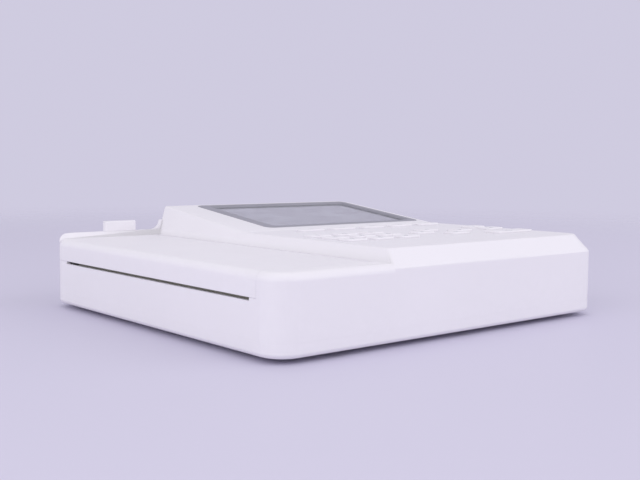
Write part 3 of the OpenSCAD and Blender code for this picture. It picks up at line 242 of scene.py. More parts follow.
g.links.new(remap(g, haze, into.outputs["Gloss Low"], into.outputs["Gloss High"], 0.25, 0.75),
            outof.inputs["Roughness"])
g.links.new(noise(g, spot, into.outputs["Pit Scale"], 1.0), outof.inputs["Height"])

# Painted edge highlight: where the form turns sharply outward, the tone is lifted in patches
# towards the lighter edge colour, standing in for light caught on the edges.
painted_edge_highlight, into, outof = effect(
    "painted_edge_highlight",
    [("Colour", "NodeSocketColor", (0.8, 0.8, 0.8, 1)),
     ("Edge Colour", "NodeSocketColor", (0.9, 0.9, 0.9, 1)), ("Amount", "NodeSocketFloat", 0.3)],
    [("Colour", "NodeSocketColor"), ("Mask", "NodeSocketFloat")])
g = painted_edge_highlight
sharp = g.nodes.new("ShaderNodeNewGeometry").outputs["Pointiness"]
spot = g.nodes.new("ShaderNodeTexCoord").outputs["Object"]
edge = remap(g, sharp, 0.0, 1.0, 0.52, 0.60)
patchy = remap(g, noise(g, spot, 160.0, 4.0, 0.65), 0.0, 1.0, 0.4, 0.62)
highlit_edges = reckon(g, "MULTIPLY", edge, patchy)
turned_to = reckon(g, "MULTIPLY", highlit_edges, into.outputs["Amount"])
g.links.new(blend(g, turned_to, into.outputs["Colour"], into.outputs["Edge Colour"]), outof.inputs["Colour"])
g.links.new(highlit_edges, outof.inputs["Mask"])


def finish(name, **fixed):
    """A material with one Principled shader, whose even values are set on its own sockets."""
    made = bpy.data.materials.new(name)
    made.use_nodes = True
    tree = made.node_tree
    tree.nodes.clear()
    end = tree.nodes.new("ShaderNodeOutputMaterial")
    shader = tree.nodes.new("ShaderNodeBsdfPrincipled")
    tree.links.new(shader.outputs[0], end.inputs["Surface"])
    for label, value in fixed.items():
        shader.inputs[label.replace("_", " ")].default_value = value
    return made, tree, shader


def placed(tree, made, **values):
    """One copy of a shader node group, with this material's own values."""
    box = tree.nodes.new("ShaderNodeGroup")
    box.node_tree = made
    for label, value in values.items():
        box.inputs[label.replace("_", " ")].default_value = value
    return box


def raised(tree, shader, height, strength, distance):
    bump = tree.nodes.new("ShaderNodeBump")
    bump.inputs["Strength"].default_value = strength
    bump.inputs["Distance"].default_value = distance
    tree.links.new(height, bump.inputs["Height"])
    tree.links.new(bump.outputs["Normal"], shader.inputs["Normal"])


def moulded_plastic(name, colour, edge_colour, gloss, pits=2200.0, pit_depth=0.12, drift=0.03, highlight_amount=0.25,
                    **fixed):
    made, tree, shader = finish(name, **fixed)
    face = placed(tree, moulded_skin, Colour=colour, Drift=drift, Gloss_Low=gloss[0], Gloss_High=gloss[1],
                  Pit_Scale=pits)
    # Sharp outward edges get a painted highlight: a patchy lift towards the lighter edge colour.
    edges = placed(tree, painted_edge_highlight, Edge_Colour=edge_colour, Amount=highlight_amount)
    tree.links.new(face.outputs["Colour"], edges.inputs["Colour"])
    tree.links.new(edges.outputs["Colour"], shader.inputs["Base Color"])
    tree.links.new(face.outputs["Roughness"], shader.inputs["Roughness"])
    raised(tree, shader, face.outputs["Height"], pit_depth, 0.00005)
    return made


white_abs = moulded_plastic("white_abs", (0.80, 0.775, 0.83, 1), (0.84, 0.815, 0.87, 1), (0.44, 0.54),
                            IOR=1.5, Specular_IOR_Level=0.5)


def at(x, y, z):
    """A place in metres, from millimetres off the case's front left corner."""
    return Vector(((x - case_l / 2) * 0.001, (y - case_w / 2) * 0.001, z * 0.001))


def inside(spot, low, high):
    a, b = at(*low), at(*high)
    return all(a[i] <= spot[i] <= b[i] for i in range(3))


def add(name, mesh, look, body):
    """One piece of the machine, with its finish and the body that it moves with."""
    made = bpy.data.objects.new(name, mesh)
    bpy.context.collection.objects.link(made)
    mesh.materials.clear()
    mesh.materials.append(look)
    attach(made, body)
    return made


def soften(piece, turn_over=32.0, width=0.0):
    """Rounds a piece's hard edges, with shading that stays flat on its flats."""
    mesh = piece.data
    mesh.shade_smooth()
    mesh.set_sharp_from_angle(angle=math.radians(turn_over))
    if width:
        rounding = piece.modifiers.new("rounded_edges", "BEVEL")
        rounding.width = width * 0.001
        rounding.segments = 2
        rounding.limit_method = "ANGLE"
        rounding.angle_limit = math.radians(turn_over)
        rounding.use_clamp_overlap = True
    even = piece.modifiers.new("even_shading", "WEIGHTED_NORMAL")
    even.keep_sharp = True
    even.weight = 60
    return piece


def from_frame(node, piece, look, body, turn_over=32.0, width=0.0, rims=()):
    """A dressed copy of a node: its flats joined up again, its rims and edges rounded."""
    mesh = nodes[node].data.copy()
    mesh.name = piece
    work = bmesh.new()
    work.from_mesh(mesh)
    bmesh.ops.remove_doubles(work, verts=work.verts, dist=2e-6)
    bmesh.ops.dissolve_degenerate(work, edges=work.edges, dist=1e-7)
    bmesh.ops.dissolve_limit(work, angle_limit=math.radians(0.4), verts=work.verts, edges=work.edges)
    bmesh.ops.recalc_face_normals(work, faces=work.faces)
    for low, high, round_r in rims:
        chosen = [e for e in work.edges
                  if len(e.link_faces) == 2 and e.calc_face_angle_signed(0.0) > math.radians(38)
                  and inside(e.verts[0].co, low, high) and inside(e.verts[1].co, low, high)]
        bmesh.ops.bevel(work, geom=chosen, offset=round_r * 0.001, segments=2, profile=0.5,
                        affect="EDGES", clamp_overlap=False)
    work.to_mesh(mesh)
    work.free()
    made = add(piece, mesh, look, body)
    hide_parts(node)
    return soften(made, turn_over, width)


def paint(piece, look, *places):
    """Gives a second finish to the faces whose middles lie in a box, in the case's millimetres."""
    mesh = piece.data
    mesh.materials.append(look)
    for low, high in places:
        for face in mesh.polygons:
            if inside(face.center, low, high):
                face.material_index = len(mesh.materials) - 1


def oblong(x, y, z, l, w, r, per=6):
    """A rounded rectangle round a middle, lying flat at height z."""
    r = max(r, 0.05)
    turns = []
    for k, (a, b) in enumerate(((1, 1), (-1, 1), (-1, -1), (1, -1))):
        for i in range(per + 1):
            t = math.radians(90 * k + 90 * i / per)
            turns.append((x + a * (l / 2 - r) + r * math.cos(t), y + b * (w / 2 - r) + r * math.sin(t), z))
    return turns


def skin(name, loops, ring=False):
    """A mesh stretched over loops of points in the case's millimetres, capped at its
    ends or, as a ring, closed back on its first loop."""
    mesh = bpy.data.meshes.new(name)
    count = len(loops[0])
    points = [at(*p) for loop in loops for p in loop]
    faces = []
    rows = len(loops) if ring else len(loops) - 1
    for k in range(rows):
        for i in range(count):
            j = (i + 1) % count
            m = (k + 1) % len(loops)
            faces.append((k * count + i, k * count + j, m * count + j, m * count + i))
    if not ring:
        faces.append(tuple(reversed(range(count))))
        faces.append(tuple((len(loops) - 1) * count + i for i in range(count)))
    mesh.from_pydata(points, [], faces)
    work = bmesh.new()
    work.from_mesh(mesh)
    bmesh.ops.recalc_face_normals(work, faces=work.faces)
    work.to_mesh(mesh)
    work.free()
    return mesh


from_frame("lower_case", "lower_shell", white_abs, "case",
           rims=[((-1, -1, 2), (281, 264, 3.2), 0.25)])

# The tongue of the joint between the two mouldings, which closes the hairline
# gap just behind its edges. Like the lips at the paper door, it starts a little
# under the skin of the case and ends inside its wall.
lip_front, lip_back = 0.08, 2.3
joint_low, joint_high = 10.85, 11.15
tongue = [oblong(case_l / 2, case_w / 2, z, case_l - 2 * back, case_w - 2 * back, corner_r - back, 12)
          for z, back in ((joint_low, lip_front), (joint_high, lip_front),
                          (joint_high, lip_back), (joint_low, lip_back))]
soften(add("joint_tongue", skin("joint_tongue", tongue, ring=True), white_abs, "case"))

# ---------------------------------------------------------------------------
# Upper case: the second white moulding, with the low deck's frame, the bevelled
# keyboard console, the sloping screen housing and the connector recesses. It
# stands on the lower case with a hairline joint.
from_frame("upper_case", "upper_shell", white_abs, "case",
           rims=[((90, 40, 55.8), (268, 146, 56), 0.3),
                 ((144, 261.9, 13), (272, 263.5, 45), 0.4),
                 ((279.5, 97.5, 13), (280.5, 165.5, 41), 0.4)])
deck_z, deck_r = 48, 5
door_low, door_right = 33.8, 76.4


def door_lip(name, y0, y1, from_corner):
    """A thin white lip of the case that fills the gap at one end of the paper door."""
    def profile(back):
        line = [(door_low, corner_r - back)]
        for a in range(0, 91, 10):
            turn = math.radians(a)
            line.append((deck_z - deck_r + (deck_r - back) * math.sin(turn),
                         corner_r - deck_r + (deck_r - back) * math.cos(turn)))
        spots = [(corner_r - math.sqrt(r * r - from_corner * from_corner), z) for z, r in line]
        return spots + [(door_right, deck_z - back)]
    loop = profile(lip_front) + profile(lip_back)[::-1]
    lip = skin(name, [[(x, y, z) for x, z in loop] for y in (y0, y1)])
    soften(add(name, lip, white_abs, "case"))


door_lip("front_door_lip", 17.7, 17.97, 0)
door_lip("back_door_lip", 253.64, 253.9, 5.75)
round_from = case_w - corner_r
ledge_low, ledge_high = 33.28, 33.56
for name, depths in (("front_slot_lip", (17.7, 23.95)),
                     ("back_slot_lip", (240.05, round_from, 250, 252, 253.88))):
    ledge = []
    for y in depths:
        outer, inner = (corner_r - math.sqrt((corner_r - back) ** 2 - max(y - round_from, 0) ** 2)
                        for back in (lip_front, lip_back))
        ledge.append([(outer, y, ledge_low), (inner, y, ledge_low),
                      (inner, y, ledge_high), (outer, y, ledge_high)])
    soften(add(name, skin(name, ledge), white_abs, "case"))

# ---------------------------------------------------------------------------
# Paper door: a white moulding that is the left deck and the left face down to
# the paper slot. It turns on two steel pins along its right edge.
from_frame("paper_door", "door_shell", white_abs, "door",
           rims=[((-1, 17.5, 33.5), (4.2, 254, 33.7), 0.3)])

# ---------------------------------------------------------------------------
# Hinge pins: two steel pins, ground to size and pressed into the case, one at
# each end of the door's right edge.

# The grain and tarnish that every metal finish shares.
brushed_metal, into, outof = effect(
    "brushed_metal",
    [("Colour", "NodeSocketColor", (0.6, 0.6, 0.6, 1)), ("Low", "NodeSocketFloat", 0.25),
     ("High", "NodeSocketFloat", 0.45), ("Grain", "NodeSocketVector", (600, 600, 600)),
     ("Tarnish", "NodeSocketFloat", 0.15)],
    [("Colour", "NodeSocketColor"), ("Roughness", "NodeSocketFloat"), ("Height", "NodeSocketFloat")])
g = brushed_metal
spot = g.nodes.new("ShaderNodeTexCoord").outputs["Object"]
long_way = g.nodes.new("ShaderNodeVectorMath")
long_way.operation = "MULTIPLY"
g.links.new(spot, long_way.inputs[0])
g.links.new(into.outputs["Grain"], long_way.inputs[1])
lines = noise(g, long_way.outputs["Vector"], 1.0, 3.0, 0.6)
stain = remap(g, noise(g, spot, 120.0, 4.0, 0.6), 0.0, 1.0, 0.35, 0.75)
dulled = reckon(g, "SUBTRACT", 1.0, reckon(g, "MULTIPLY", stain, into.outputs["Tarnish"]))
g.links.new(shade(g, into.outputs["Colour"], dulled), outof.inputs["Colour"])
g.links.new(remap(g, lines, into.outputs["Low"], into.outputs["High"], 0.3, 0.7), outof.inputs["Roughness"])
g.links.new(lines, outof.inputs["Height"])


def metal(name, colour, low, high, grain, depth=0.15, tarnish=0.15, **fixed):
    made, tree, shader = finish(name, Metallic=1.0, **fixed)
    face = placed(tree, brushed_metal, Colour=colour, Low=low, High=high, Grain=grain, Tarnish=tarnish)
    tree.links.new(face.outputs["Colour"], shader.inputs["Base Color"])
    tree.links.new(face.outputs["Roughness"], shader.inputs["Roughness"])
    raised(tree, shader, face.outputs["Height"], depth, 0.00003)
    return made


ground_steel = metal("ground_steel", (0.56, 0.56, 0.58, 1), 0.22, 0.4, (2500, 160, 2500))
from_frame("door_hinge_pins", "hinge_pins", ground_steel, "case", width=0.2)

# ---------------------------------------------------------------------------
# Door release: a white thumb block on the back rim, moulded in one with the
# stem and the hook that hold the paper door shut.
from_frame("door_release", "release_block", white_abs, "release",
           rims=[((37, 254.5, 59.2), (64, 261.5, 59.4), 0.7)])

# ---------------------------------------------------------------------------
# Battery cover: a white moulding let into the underside, with four finger
# grooves, held by two screws.
from_frame("battery_cover", "battery_lid", white_abs, "case",
           rims=[((90, 15, 2.9), (190, 100, 3.1), 0.2)])

# ---------------------------------------------------------------------------
# Rubber feet: four moulded discs pressed into round seats in the floor, each
# with a rounded rim and a small dimple where it was gated.
rubber = moulded_plastic("dark_rubber", (0.035, 0.035, 0.038, 1), (0.09, 0.09, 0.095, 1), (0.55, 0.75),
                         pits=1500.0, pit_depth=0.3, drift=0.2, highlight_amount=0.6, IOR=1.52, Specular_IOR_Level=0.35)


def turned(name, x, y, profile, steps=48):
    """A round piece on an upright axis, from (radius, height) pairs."""
    loops = []
    for r, z in profile:
        loops.append([(x + max(r, 0.01) * math.cos(2 * math.pi * i / steps),
                       y + max(r, 0.01) * math.sin(2 * math.pi * i / steps), z) for i in range(steps)])
    return skin(name, loops)


foot_profile = [(0, 0.8), (1.6, 0.78), (2.3, 0.55), (2.7, 0.15), (3.1, 0.0), (6.2, 0.0), (6.75, 0.18),
                (7.0, 0.6), (7.05, 0.95), (7.6, 1.05), (7.9, 1.3), (8.0, 1.7), (8.0, 4.0), (0, 4.0)]
foot_in = 22
for k, (x, y) in enumerate(((foot_in, foot_in), (case_l - foot_in, foot_in),
                            (foot_in, case_w - foot_in), (case_l - foot_in, case_w - foot_in))):
    foot = add(f"rubber_foot_{k + 1}", turned(f"rubber_foot_{k + 1}", x, y, foot_profile), rubber,
               "case")
    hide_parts("rubber_feet")
    soften(foot, 40)

# ---------------------------------------------------------------------------
# Case screws: zinc-plated steel with hexagon sockets, six that join the two
# mouldings and two for the battery cover, all driven from below.
zinc = metal("zinc_plate", (0.60, 0.61, 0.60, 1), 0.28, 0.5, (900, 900, 900), tarnish=0.3)
from_frame("case_screws", "case_screw_set", zinc, "case", turn_over=28)

# ---------------------------------------------------------------------------
# Printer frame: a pale grey glass-filled moulding with two cheeks and a tray,
# which carries the motor, the idler, the print head and the paper roll.
frame_grey = moulded_plastic("frame_grey", (0.42, 0.42, 0.45, 1), (0.50, 0.50, 0.53, 1), (0.45, 0.62),
                             pits=900.0, pit_depth=0.25, drift=0.12, highlight_amount=0.3, IOR=1.58)
from_frame("printer_frame", "printer_chassis", frame_grey, "case")

# ---------------------------------------------------------------------------
# Print roller: a black rubber sleeve moulded on a steel shaft and ground to
# size. The door's ears carry it.
platen_rubber = moulded_plastic("platen_rubber", (0.028, 0.028, 0.03, 1), (0.06, 0.06, 0.065, 1), (0.5, 0.68),
                                pits=2600.0, pit_depth=0.3, drift=0.15, highlight_amount=0.5, IOR=1.52,
                                Specular_IOR_Level=0.35)
roller_x, roller_z = 12, 38.8


def round_loops(x, z, rows, steps):
    """Loops round an axis that runs from front to back, from (radius, depth) pairs."""
    return [[(x + r * math.cos(2 * math.pi * i / steps), y, z + r * math.sin(2 * math.pi * i / steps))
             for i in range(steps)] for r, y in rows]


sleeve_rows = [(2.5, 27), (5.2, 27), (5.75, 27.12), (5.96, 27.4), (6.0, 27.9), (6.0, 236.1), (5.96, 236.6),
               (5.75, 236.88), (5.2, 237), (2.5, 237)]
sleeve = add("roller_sleeve",
             skin("roller_sleeve", round_loops(roller_x, roller_z, sleeve_rows, 64), ring=True),
             platen_rubber, "platen")
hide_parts("platen_roller")
soften(sleeve, 40)
from_frame("platen_shaft", "roller_shaft", ground_steel, "platen", width=0.3)

# ---------------------------------------------------------------------------
# Gear train: two ivory acetal gears and a brass motor pinion, cut and pressed
# on, that turn the print roller from the stepper motor.
acetal = moulded_plastic("acetal", (0.72, 0.69, 0.60, 1), (0.80, 0.78, 0.70, 1), (0.32, 0.45),
                         pits=1400.0, pit_depth=0.1, drift=0.08, highlight_amount=0.4, IOR=1.48)
from_frame("platen_gear", "roller_gear", acetal, "platen", turn_over=28)
from_frame("idler_gear", "idler_wheel", acetal, "idler", turn_over=28)
bright_brass = metal("bright_brass", (0.72, 0.52, 0.22, 1), 0.2, 0.38, (1200, 1200, 1200), tarnish=0.25)
from_frame("motor_pinion", "brass_pinion", bright_brass, "pinion", turn_over=28)

# ---------------------------------------------------------------------------
# Stepper motor: a drawn steel can behind the front cheek, with its boss and
# shaft through the cheek and a white lead block at its back.
drawn_steel = metal("drawn_steel", (0.48, 0.48, 0.50, 1), 0.3, 0.48, (300, 1800, 300), tarnish=0.2)
motor_can = from_frame("stepper_motor", "motor_can", drawn_steel, "case", turn_over=28)
paint(motor_can, acetal, ((16, 35.5, 5), (28, 44.5, 10.3)))

# ---------------------------------------------------------------------------
# Print head: a glazed ceramic strip with its dark heater line, on a rocking
# aluminium carrier pressed up by three coil springs. By it stand the toothed
# steel tear strip and the black eye that sees the paper.
ceramic = moulded_plastic("glazed_ceramic", (0.58, 0.56, 0.50, 1), (0.66, 0.64, 0.58, 1), (0.14, 0.24),
                          pits=800.0, pit_depth=0.05, drift=0.05, highlight_amount=0.2, IOR=1.6)
heater_glaze = moulded_plastic("heater_glaze", (0.10, 0.07, 0.055, 1), (0.16, 0.12, 0.1, 1), (0.12, 0.22),
                               pits=1500.0, pit_depth=0.05, drift=0.1, highlight_amount=0.2, IOR=1.6)
head_strip = from_frame("print_head", "print_head_strip", ceramic, "case")
paint(head_strip, heater_glaze, ((11.5, 0, 31.9), (12.5, 263, 32.8)))
aluminium = metal("drawn_aluminium", (0.70, 0.71, 0.73, 1), 0.3, 0.5, (1600, 60, 1600), tarnish=0.12)
from_frame("head_bracket", "head_carrier", aluminium, "case", width=0.2)
spring_steel = metal("spring_steel", (0.50, 0.50, 0.52, 1), 0.25, 0.42, (900, 900, 900), tarnish=0.2)
from_frame("head_springs", "head_spring_set", spring_steel, "case", turn_over=75)
from_frame("tear_bar", "tear_strip", ground_steel, "case")
from_frame("paper_sensor", "paper_eye", rubber, "case", width=0.3)

# ---------------------------------------------------------------------------
# Paper roll: thermal chart paper wound on a card core, on a spindle that lies
# in notches of the frame. Its ends show the turns as fine rings that don't line
# up quite, and its skin is soft with paper fibre.
roll_x, roll_z, roll_r = 57.5, 26.0, 17.5
roll_front, roll_back = 27.5, 236.5
core_in, core_out = 6.1, 7.55


def chart_stock():
    made, tree, shader = finish("chart_stock", IOR=1.45, Specular_IOR_Level=0.3)
    spot = tree.nodes.new("ShaderNodeTexCoord").outputs["Object"]
    centred = tree.nodes.new("ShaderNodeMapping")
    centred.inputs["Location"].default_value = -at(roll_x, 132, roll_z)
    tree.links.new(spot, centred.inputs["Vector"])
    turns = tree.nodes.new("ShaderNodeTexWave")
    turns.wave_type = "RINGS"
    turns.rings_direction = "Y"
    turns.inputs["Scale"].default_value = 700.0
    turns.inputs["Distortion"].default_value = 0.6
    turns.inputs["Detail"].default_value = 2.0
    tree.links.new(centred.outputs["Vector"], turns.inputs["Vector"])
    fibre = noise(tree, spot, 1800.0, 4.0, 0.65)
    body_tone = blend(tree, turns.outputs["Fac"], (0.70, 0.68, 0.66, 1), (0.86, 0.85, 0.83, 1))
    tree.links.new(shade(tree, body_tone, remap(tree, fibre, 0.94, 1.0, 0.3, 0.7)),
                   shader.inputs["Base Color"])
    tree.links.new(remap(tree, fibre, 0.62, 0.8), shader.inputs["Roughness"])
    raised(tree, shader, turns.outputs["Fac"], 0.15, 0.00004)
    return made


chart_paper = chart_stock()
card = moulded_plastic("core_card", (0.33, 0.24, 0.15, 1), (0.42, 0.32, 0.22, 1), (0.7, 0.85), pits=900.0,
                       pit_depth=0.4, drift=0.15, highlight_amount=0.3, IOR=1.4, Specular_IOR_Level=0.25)
coils = 9
first_turn = 7.6
end_turns = []
for k in range(coils + 1):
    r = first_turn + (roll_r - 0.25 - first_turn) * k / coils
    end_turns.append((r, 0.07 * math.sin(k * 2.4) * math.sin(k * 0.9) + 0.09))
rows = [(core_in, roll_front), (core_out, roll_front)] + [(r, roll_front + deep) for r, deep in end_turns]
rows += [(roll_r, 27.8), (roll_r, 236.2)]
rows += [(r, roll_back - deep) for r, deep in end_turns[::-1]] + [(core_out, roll_back), (core_in, roll_back)]
wound = add("wound_paper", skin("wound_paper", round_loops(roll_x, roll_z, rows, 96), ring=True),
            chart_paper, "roll")
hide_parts("paper_roll")
soften(wound, 40)
paint(wound, card)
axis = at(roll_x, 0, roll_z)
for face in wound.data.polygons:
    if math.hypot(face.center.x - axis.x, face.center.z - axis.z) < 0.00756:
        face.material_index = 1
from_frame("roll_spindle", "paper_spindle", frame_grey, "roll", width=0.4)

# ---------------------------------------------------------------------------
# Screen frame: a grey moulding let into the sloping housing, with a rounded
# outer edge and inner sides that slope down to the window. Window and display
# lie behind it, clipped in from inside.
slope = math.radians(7)
housing_y, housing_z = 149, 55.9


def on_slope(points):
    """Points laid out on the screen housing, turned up to its slope."""
    return [(x, housing_y + y * math.cos(slope) - z * math.sin(slope),
             housing_z + y * math.sin(slope) + z * math.cos(slope)) for x, y, z in points]


bezel_grey = moulded_plastic("bezel_grey", (0.29, 0.285, 0.335, 1), (0.36, 0.355, 0.41, 1), (0.36, 0.46),
                             pits=2200.0, pit_depth=0.12, drift=0.05, highlight_amount=0.35, IOR=1.5)
frame_mid, frame_l, frame_w, frame_r = (191.25, 58.04), 153.5, 96.08, 6
view_mid, view_l, view_w, view_r = (193.25, 59.04), 137.5, 84.08, 3
sheet_l, sheet_w, sheet_r = 141.5, 88.08, 1.2
loops = []
for z, back in ((-1.2, 0), (-0.1, 0), (0.12, 0.06), (0.25, 0.2), (0.3, 0.4)):
    loops.append(on_slope(oblong(*frame_mid, z, frame_l - 2 * back, frame_w - 2 * back, frame_r - back)))
for z, grow in ((0.3, 1.2), (0.2, 1.0), (-0.9, 0.2), (-1.1, 0.03), (-1.2, 0)):
    loops.append(on_slope(oblong(*view_mid, z, view_l + 2 * grow, view_w + 2 * grow, view_r + grow)))
bezel = add("screen_bezel", skin("screen_bezel", loops, ring=True), bezel_grey, "case")
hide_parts("screen_frame")
soften(bezel, 50)

# Screen window: a clear acrylic sheet behind the frame, with faint wiping marks.
# Light passes straight through it to the display.
made, tree, shader = finish("clear_acrylic", Transmission_Weight=1.0, IOR=1.49, Metallic=0.0)
spot = tree.nodes.new("ShaderNodeTexCoord").outputs["Object"]
wiped = remap(tree, noise(tree, spot, 70.0, 4.0, 0.6), 0.03, 0.14, 0.3, 0.75)
tree.links.new(wiped, shader.inputs["Roughness"])
tree.links.new(blend(tree, wiped, (0.90, 0.92, 0.93, 1), (0.95, 0.96, 0.97, 1)), shader.inputs["Base Color"])
raised(tree, shader, noise(tree, spot, 500.0, 2.0), 0.03, 0.00002)
end = [n for n in tree.nodes if n.type == "OUTPUT_MATERIAL"][0]
through = tree.nodes.new("ShaderNodeBsdfTransparent")
either = tree.nodes.new("ShaderNodeMixShader")
ray = tree.nodes.new("ShaderNodeLightPath")
tree.links.new(ray.outputs["Is Shadow Ray"], either.inputs[0])
tree.links.new(shader.outputs[0], either.inputs[1])
tree.links.new(through.outputs[0], either.inputs[2])
tree.links.new(either.outputs[0], end.inputs["Surface"])
loops = [on_slope(oblong(*view_mid, z, sheet_l - 2 * back, sheet_w - 2 * back, sheet_r - back))
         for z, back in ((-2.3, 0.1), (-2.2, 0), (-1.3, 0), (-1.2, 0.1))]
window = add("screen_sheet", skin("screen_sheet", loops), made, "case")
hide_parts("screen_window")
soften(window, 40)

# Display module: a liquid crystal panel, a plain pale grey when it is off, with
# the fine rows and columns of its picture points.
made, tree, shader = finish("display_glass", IOR=1.5, Coat_IOR=1.5)
spot = tree.nodes.new("ShaderNodeTexCoord").outputs["Object"]
lines_seen = []
for way in "YX":
    wave = tree.nodes.new("ShaderNodeTexWave")
    wave.bands_direction = way
    wave.inputs["Scale"].default_value = 480.0
    tree.links.new(spot, wave.inputs["Vector"])
    lines_seen.append(wave.outputs["Fac"])
picture_points = reckon(tree, "MULTIPLY", *lines_seen)
points_tone = blend(tree, picture_points, (0.45, 0.445, 0.47, 1), (0.49, 0.485, 0.51, 1))
cloud = remap(tree, noise(tree, spot, 14.0, 2.0), 0.95, 1.0, 0.3, 0.7)
tree.links.new(shade(tree, points_tone, cloud), shader.inputs["Base Color"])
tree.links.new(remap(tree, noise(tree, spot, 60.0, 3.0), 0.28, 0.38), shader.inputs["Roughness"])
from_frame("lcd_module", "display_panel", made, "case")

# ---------------------------------------------------------------------------
# Keys: white ABS caps with rounded shoulders and a shallow dish, each kept by
# a flange under the case and a little finer in the skin than the case. Their
# marks are printed in plain grey.
key_abs = moulded_plastic("key_abs", (0.80, 0.775, 0.83, 1), (0.84, 0.815, 0.87, 1), (0.44, 0.54),
                          pits=2600.0, pit_depth=0.08, drift=0.02, highlight_amount=0.3, IOR=1.5)
key_ink = moulded_plastic("key_ink", (0.40, 0.41, 0.46, 1), (0.48, 0.49, 0.54, 1), (0.4, 0.55),
                          pits=3000.0, pit_depth=0.1, drift=0.1, highlight_amount=0.5, IOR=1.5)


flange_low, flange_high, flange_out = 52.4, 53.4, 1.2
key_top, shoulder_z, shoulder_r, key_r = 57.3, 56.5, 0.8, 2


def key_mesh(name, x, y, l, w, dish):
    lip = flange_out
    loops = [oblong(x, y, flange_low, l + 2 * lip, w + 2 * lip, key_r + lip),
             oblong(x, y, flange_high - 0.15, l + 2 * lip, w + 2 * lip, key_r + lip),
             oblong(x, y, flange_high, l + 2 * lip - 0.3, w + 2 * lip - 0.3, key_r + lip - 0.15),
             oblong(x, y, flange_high, l, w, key_r)]
    for a in (0, 22.5, 45, 67.5, 90):
        back = shoulder_r * (1 - math.cos(math.radians(a)))
        up = shoulder_r * math.sin(math.radians(a))
        loops.append(oblong(x, y, shoulder_z + up, l - 2 * back, w - 2 * back, key_r - back))
    for back, deep in ((1.3, 0.12), (2.0, 0.45), (2.8, 0.8), (3.5, 1.0)):
        loops.append(oblong(x, y, key_top - dish * deep, l - 2 * back, w - 2 * back, max(key_r - back, 0.3)))
    return skin(name, loops)


def key(name, x, y, l, w, dish):
    cap = add(name + "_cap", key_mesh(name + "_cap", x, y, l, w, dish), key_abs, name)
    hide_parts(name)
    soften(cap, 50)


def mark(name, outline, top, body):
    """A thin printed mark of key ink."""
    loops = [[(x, y, top - 0.02) for x, y in outline], [(x, y, top + 0.035) for x, y in outline]]
    add(name, skin(name, loops), key_ink, body)


for i in range(5):
    x = 132.65 + 29.3 * i
    key(f"key_soft_{i + 1}", x, 134, 21.3, 8, 0.0)
    mark(f"soft_mark_{i + 1}", [(x - 2.5, 133.7), (x + 2.5, 133.7), (x + 2.5, 134.3), (x - 2.5, 134.3)],
         key_top, f"key_soft_{i + 1}")

key_l, key_w, dished, dish_z, row_gap = 49 / 3, 11, 0.3, 57, 17
for k in range(9):
    x, y = 104 + 70 / 3 * (k % 3), 92 - row_gap * (k // 3)
    key(f"key_pad_{k + 1}", x, y, key_l, key_w, dished)
    writing = bpy.data.curves.new(f"numeral_{k + 1}", "FONT")
    writing.body = str(k + 1)
    writing.size = 0.0055
    writing.align_x = "CENTER"
    writing.align_y = "CENTER"
    writing.extrude = 0.00003
    numeral = bpy.data.objects.new(f"numeral_{k + 1}", writing)
    numeral.location = at(x, y, 57.03)
    bpy.context.collection.objects.link(numeral)
    writing.materials.append(key_ink)
    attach(numeral, f"key_pad_{k + 1}")

for name, x, y, dx, dy in (("key_up", 607 / 3, 89.2, 0, 1), ("key_down", 607 / 3, 60.8, 0, -1),
                           ("key_left", 183, 75, -1, 0), ("key_right", 665 / 3, 75, 1, 0)):
    key(name, x, y, key_l, key_w, dished)
    arrow = [(x + 1.9 * dx, y + 1.9 * dy), (x - 1.3 * dx - 2.1 * dy, y - 1.3 * dy + 2.1 * dx),
             (x - 1.3 * dx + 2.1 * dy, y - 1.3 * dy - 2.1 * dx)]
    mark(name + "_arrow", arrow, dish_z, name)

side_x, dot_r = 256, 1.5
for i in range(2):
    y = 75 + row_gap * i
    key(f"key_side_{i + 1}", side_x, y, key_l, key_w, dished)
    spots = [(side_x + dot_r * math.cos(2 * math.pi * j / 24), y + dot_r * math.sin(2 * math.pi * j / 24))
             for j in range(24)]
    mark(f"side_dot_{i + 1}", spots, dish_z, f"key_side_{i + 1}")

start_x, start_y = 244.833, 49.5
key("key_start", start_x, start_y, 116 / 3, 13, dished)
start_ring = [[(start_x + r * math.cos(2 * math.pi * j / 40), start_y + r * math.sin(2 * math.pi * j / 40), z)
               for j in range(40)] for r, z in ((2.6, 56.98), (2.6, 57.04), (2.0, 57.04), (2.0, 56.98))]
add("start_ring", skin("start_ring", start_ring, ring=True), key_ink, "key_start")

# ---------------------------------------------------------------------------
# Key mat and keyboard: a pale silicone mat with a dome under each key, on a
# green circuit board with carbon pads.
silicone = moulded_plastic("silicone", (0.50, 0.50, 0.52, 1), (0.56, 0.56, 0.58, 1), (0.5, 0.65),
                           pits=1200.0, pit_depth=0.1, drift=0.08, highlight_amount=0.2, IOR=1.41)
from_frame("key_mat", "dome_mat", silicone, "case")


def board_face(name, mask, line):
    """Solder mask over copper tracks."""
    made, tree, shader = finish(name, IOR=1.5)
    spot = tree.nodes.new("ShaderNodeTexCoord").outputs["Object"]
    tracks = tree.nodes.new("ShaderNodeTexBrick")
    tracks.inputs["Scale"].default_value = 220.0
    tracks.inputs["Mortar Size"].default_value = 0.06
    tracks.inputs["Color1"].default_value = mask
    tracks.inputs["Color2"].default_value = (mask[0] * 1.15, mask[1] * 1.15, mask[2] * 1.15, 1)
    tracks.inputs["Mortar"].default_value = line
    tree.links.new(spot, tracks.inputs["Vector"])
    tree.links.new(shade(tree, tracks.outputs["Color"], remap(tree, noise(tree, spot, 30.0), 0.85, 1.0)),
                   shader.inputs["Base Color"])
    tree.links.new(remap(tree, noise(tree, spot, 300.0), 0.25, 0.4), shader.inputs["Roughness"])
    raised(tree, shader, tracks.outputs["Fac"], 0.3, 0.00003)
    return made


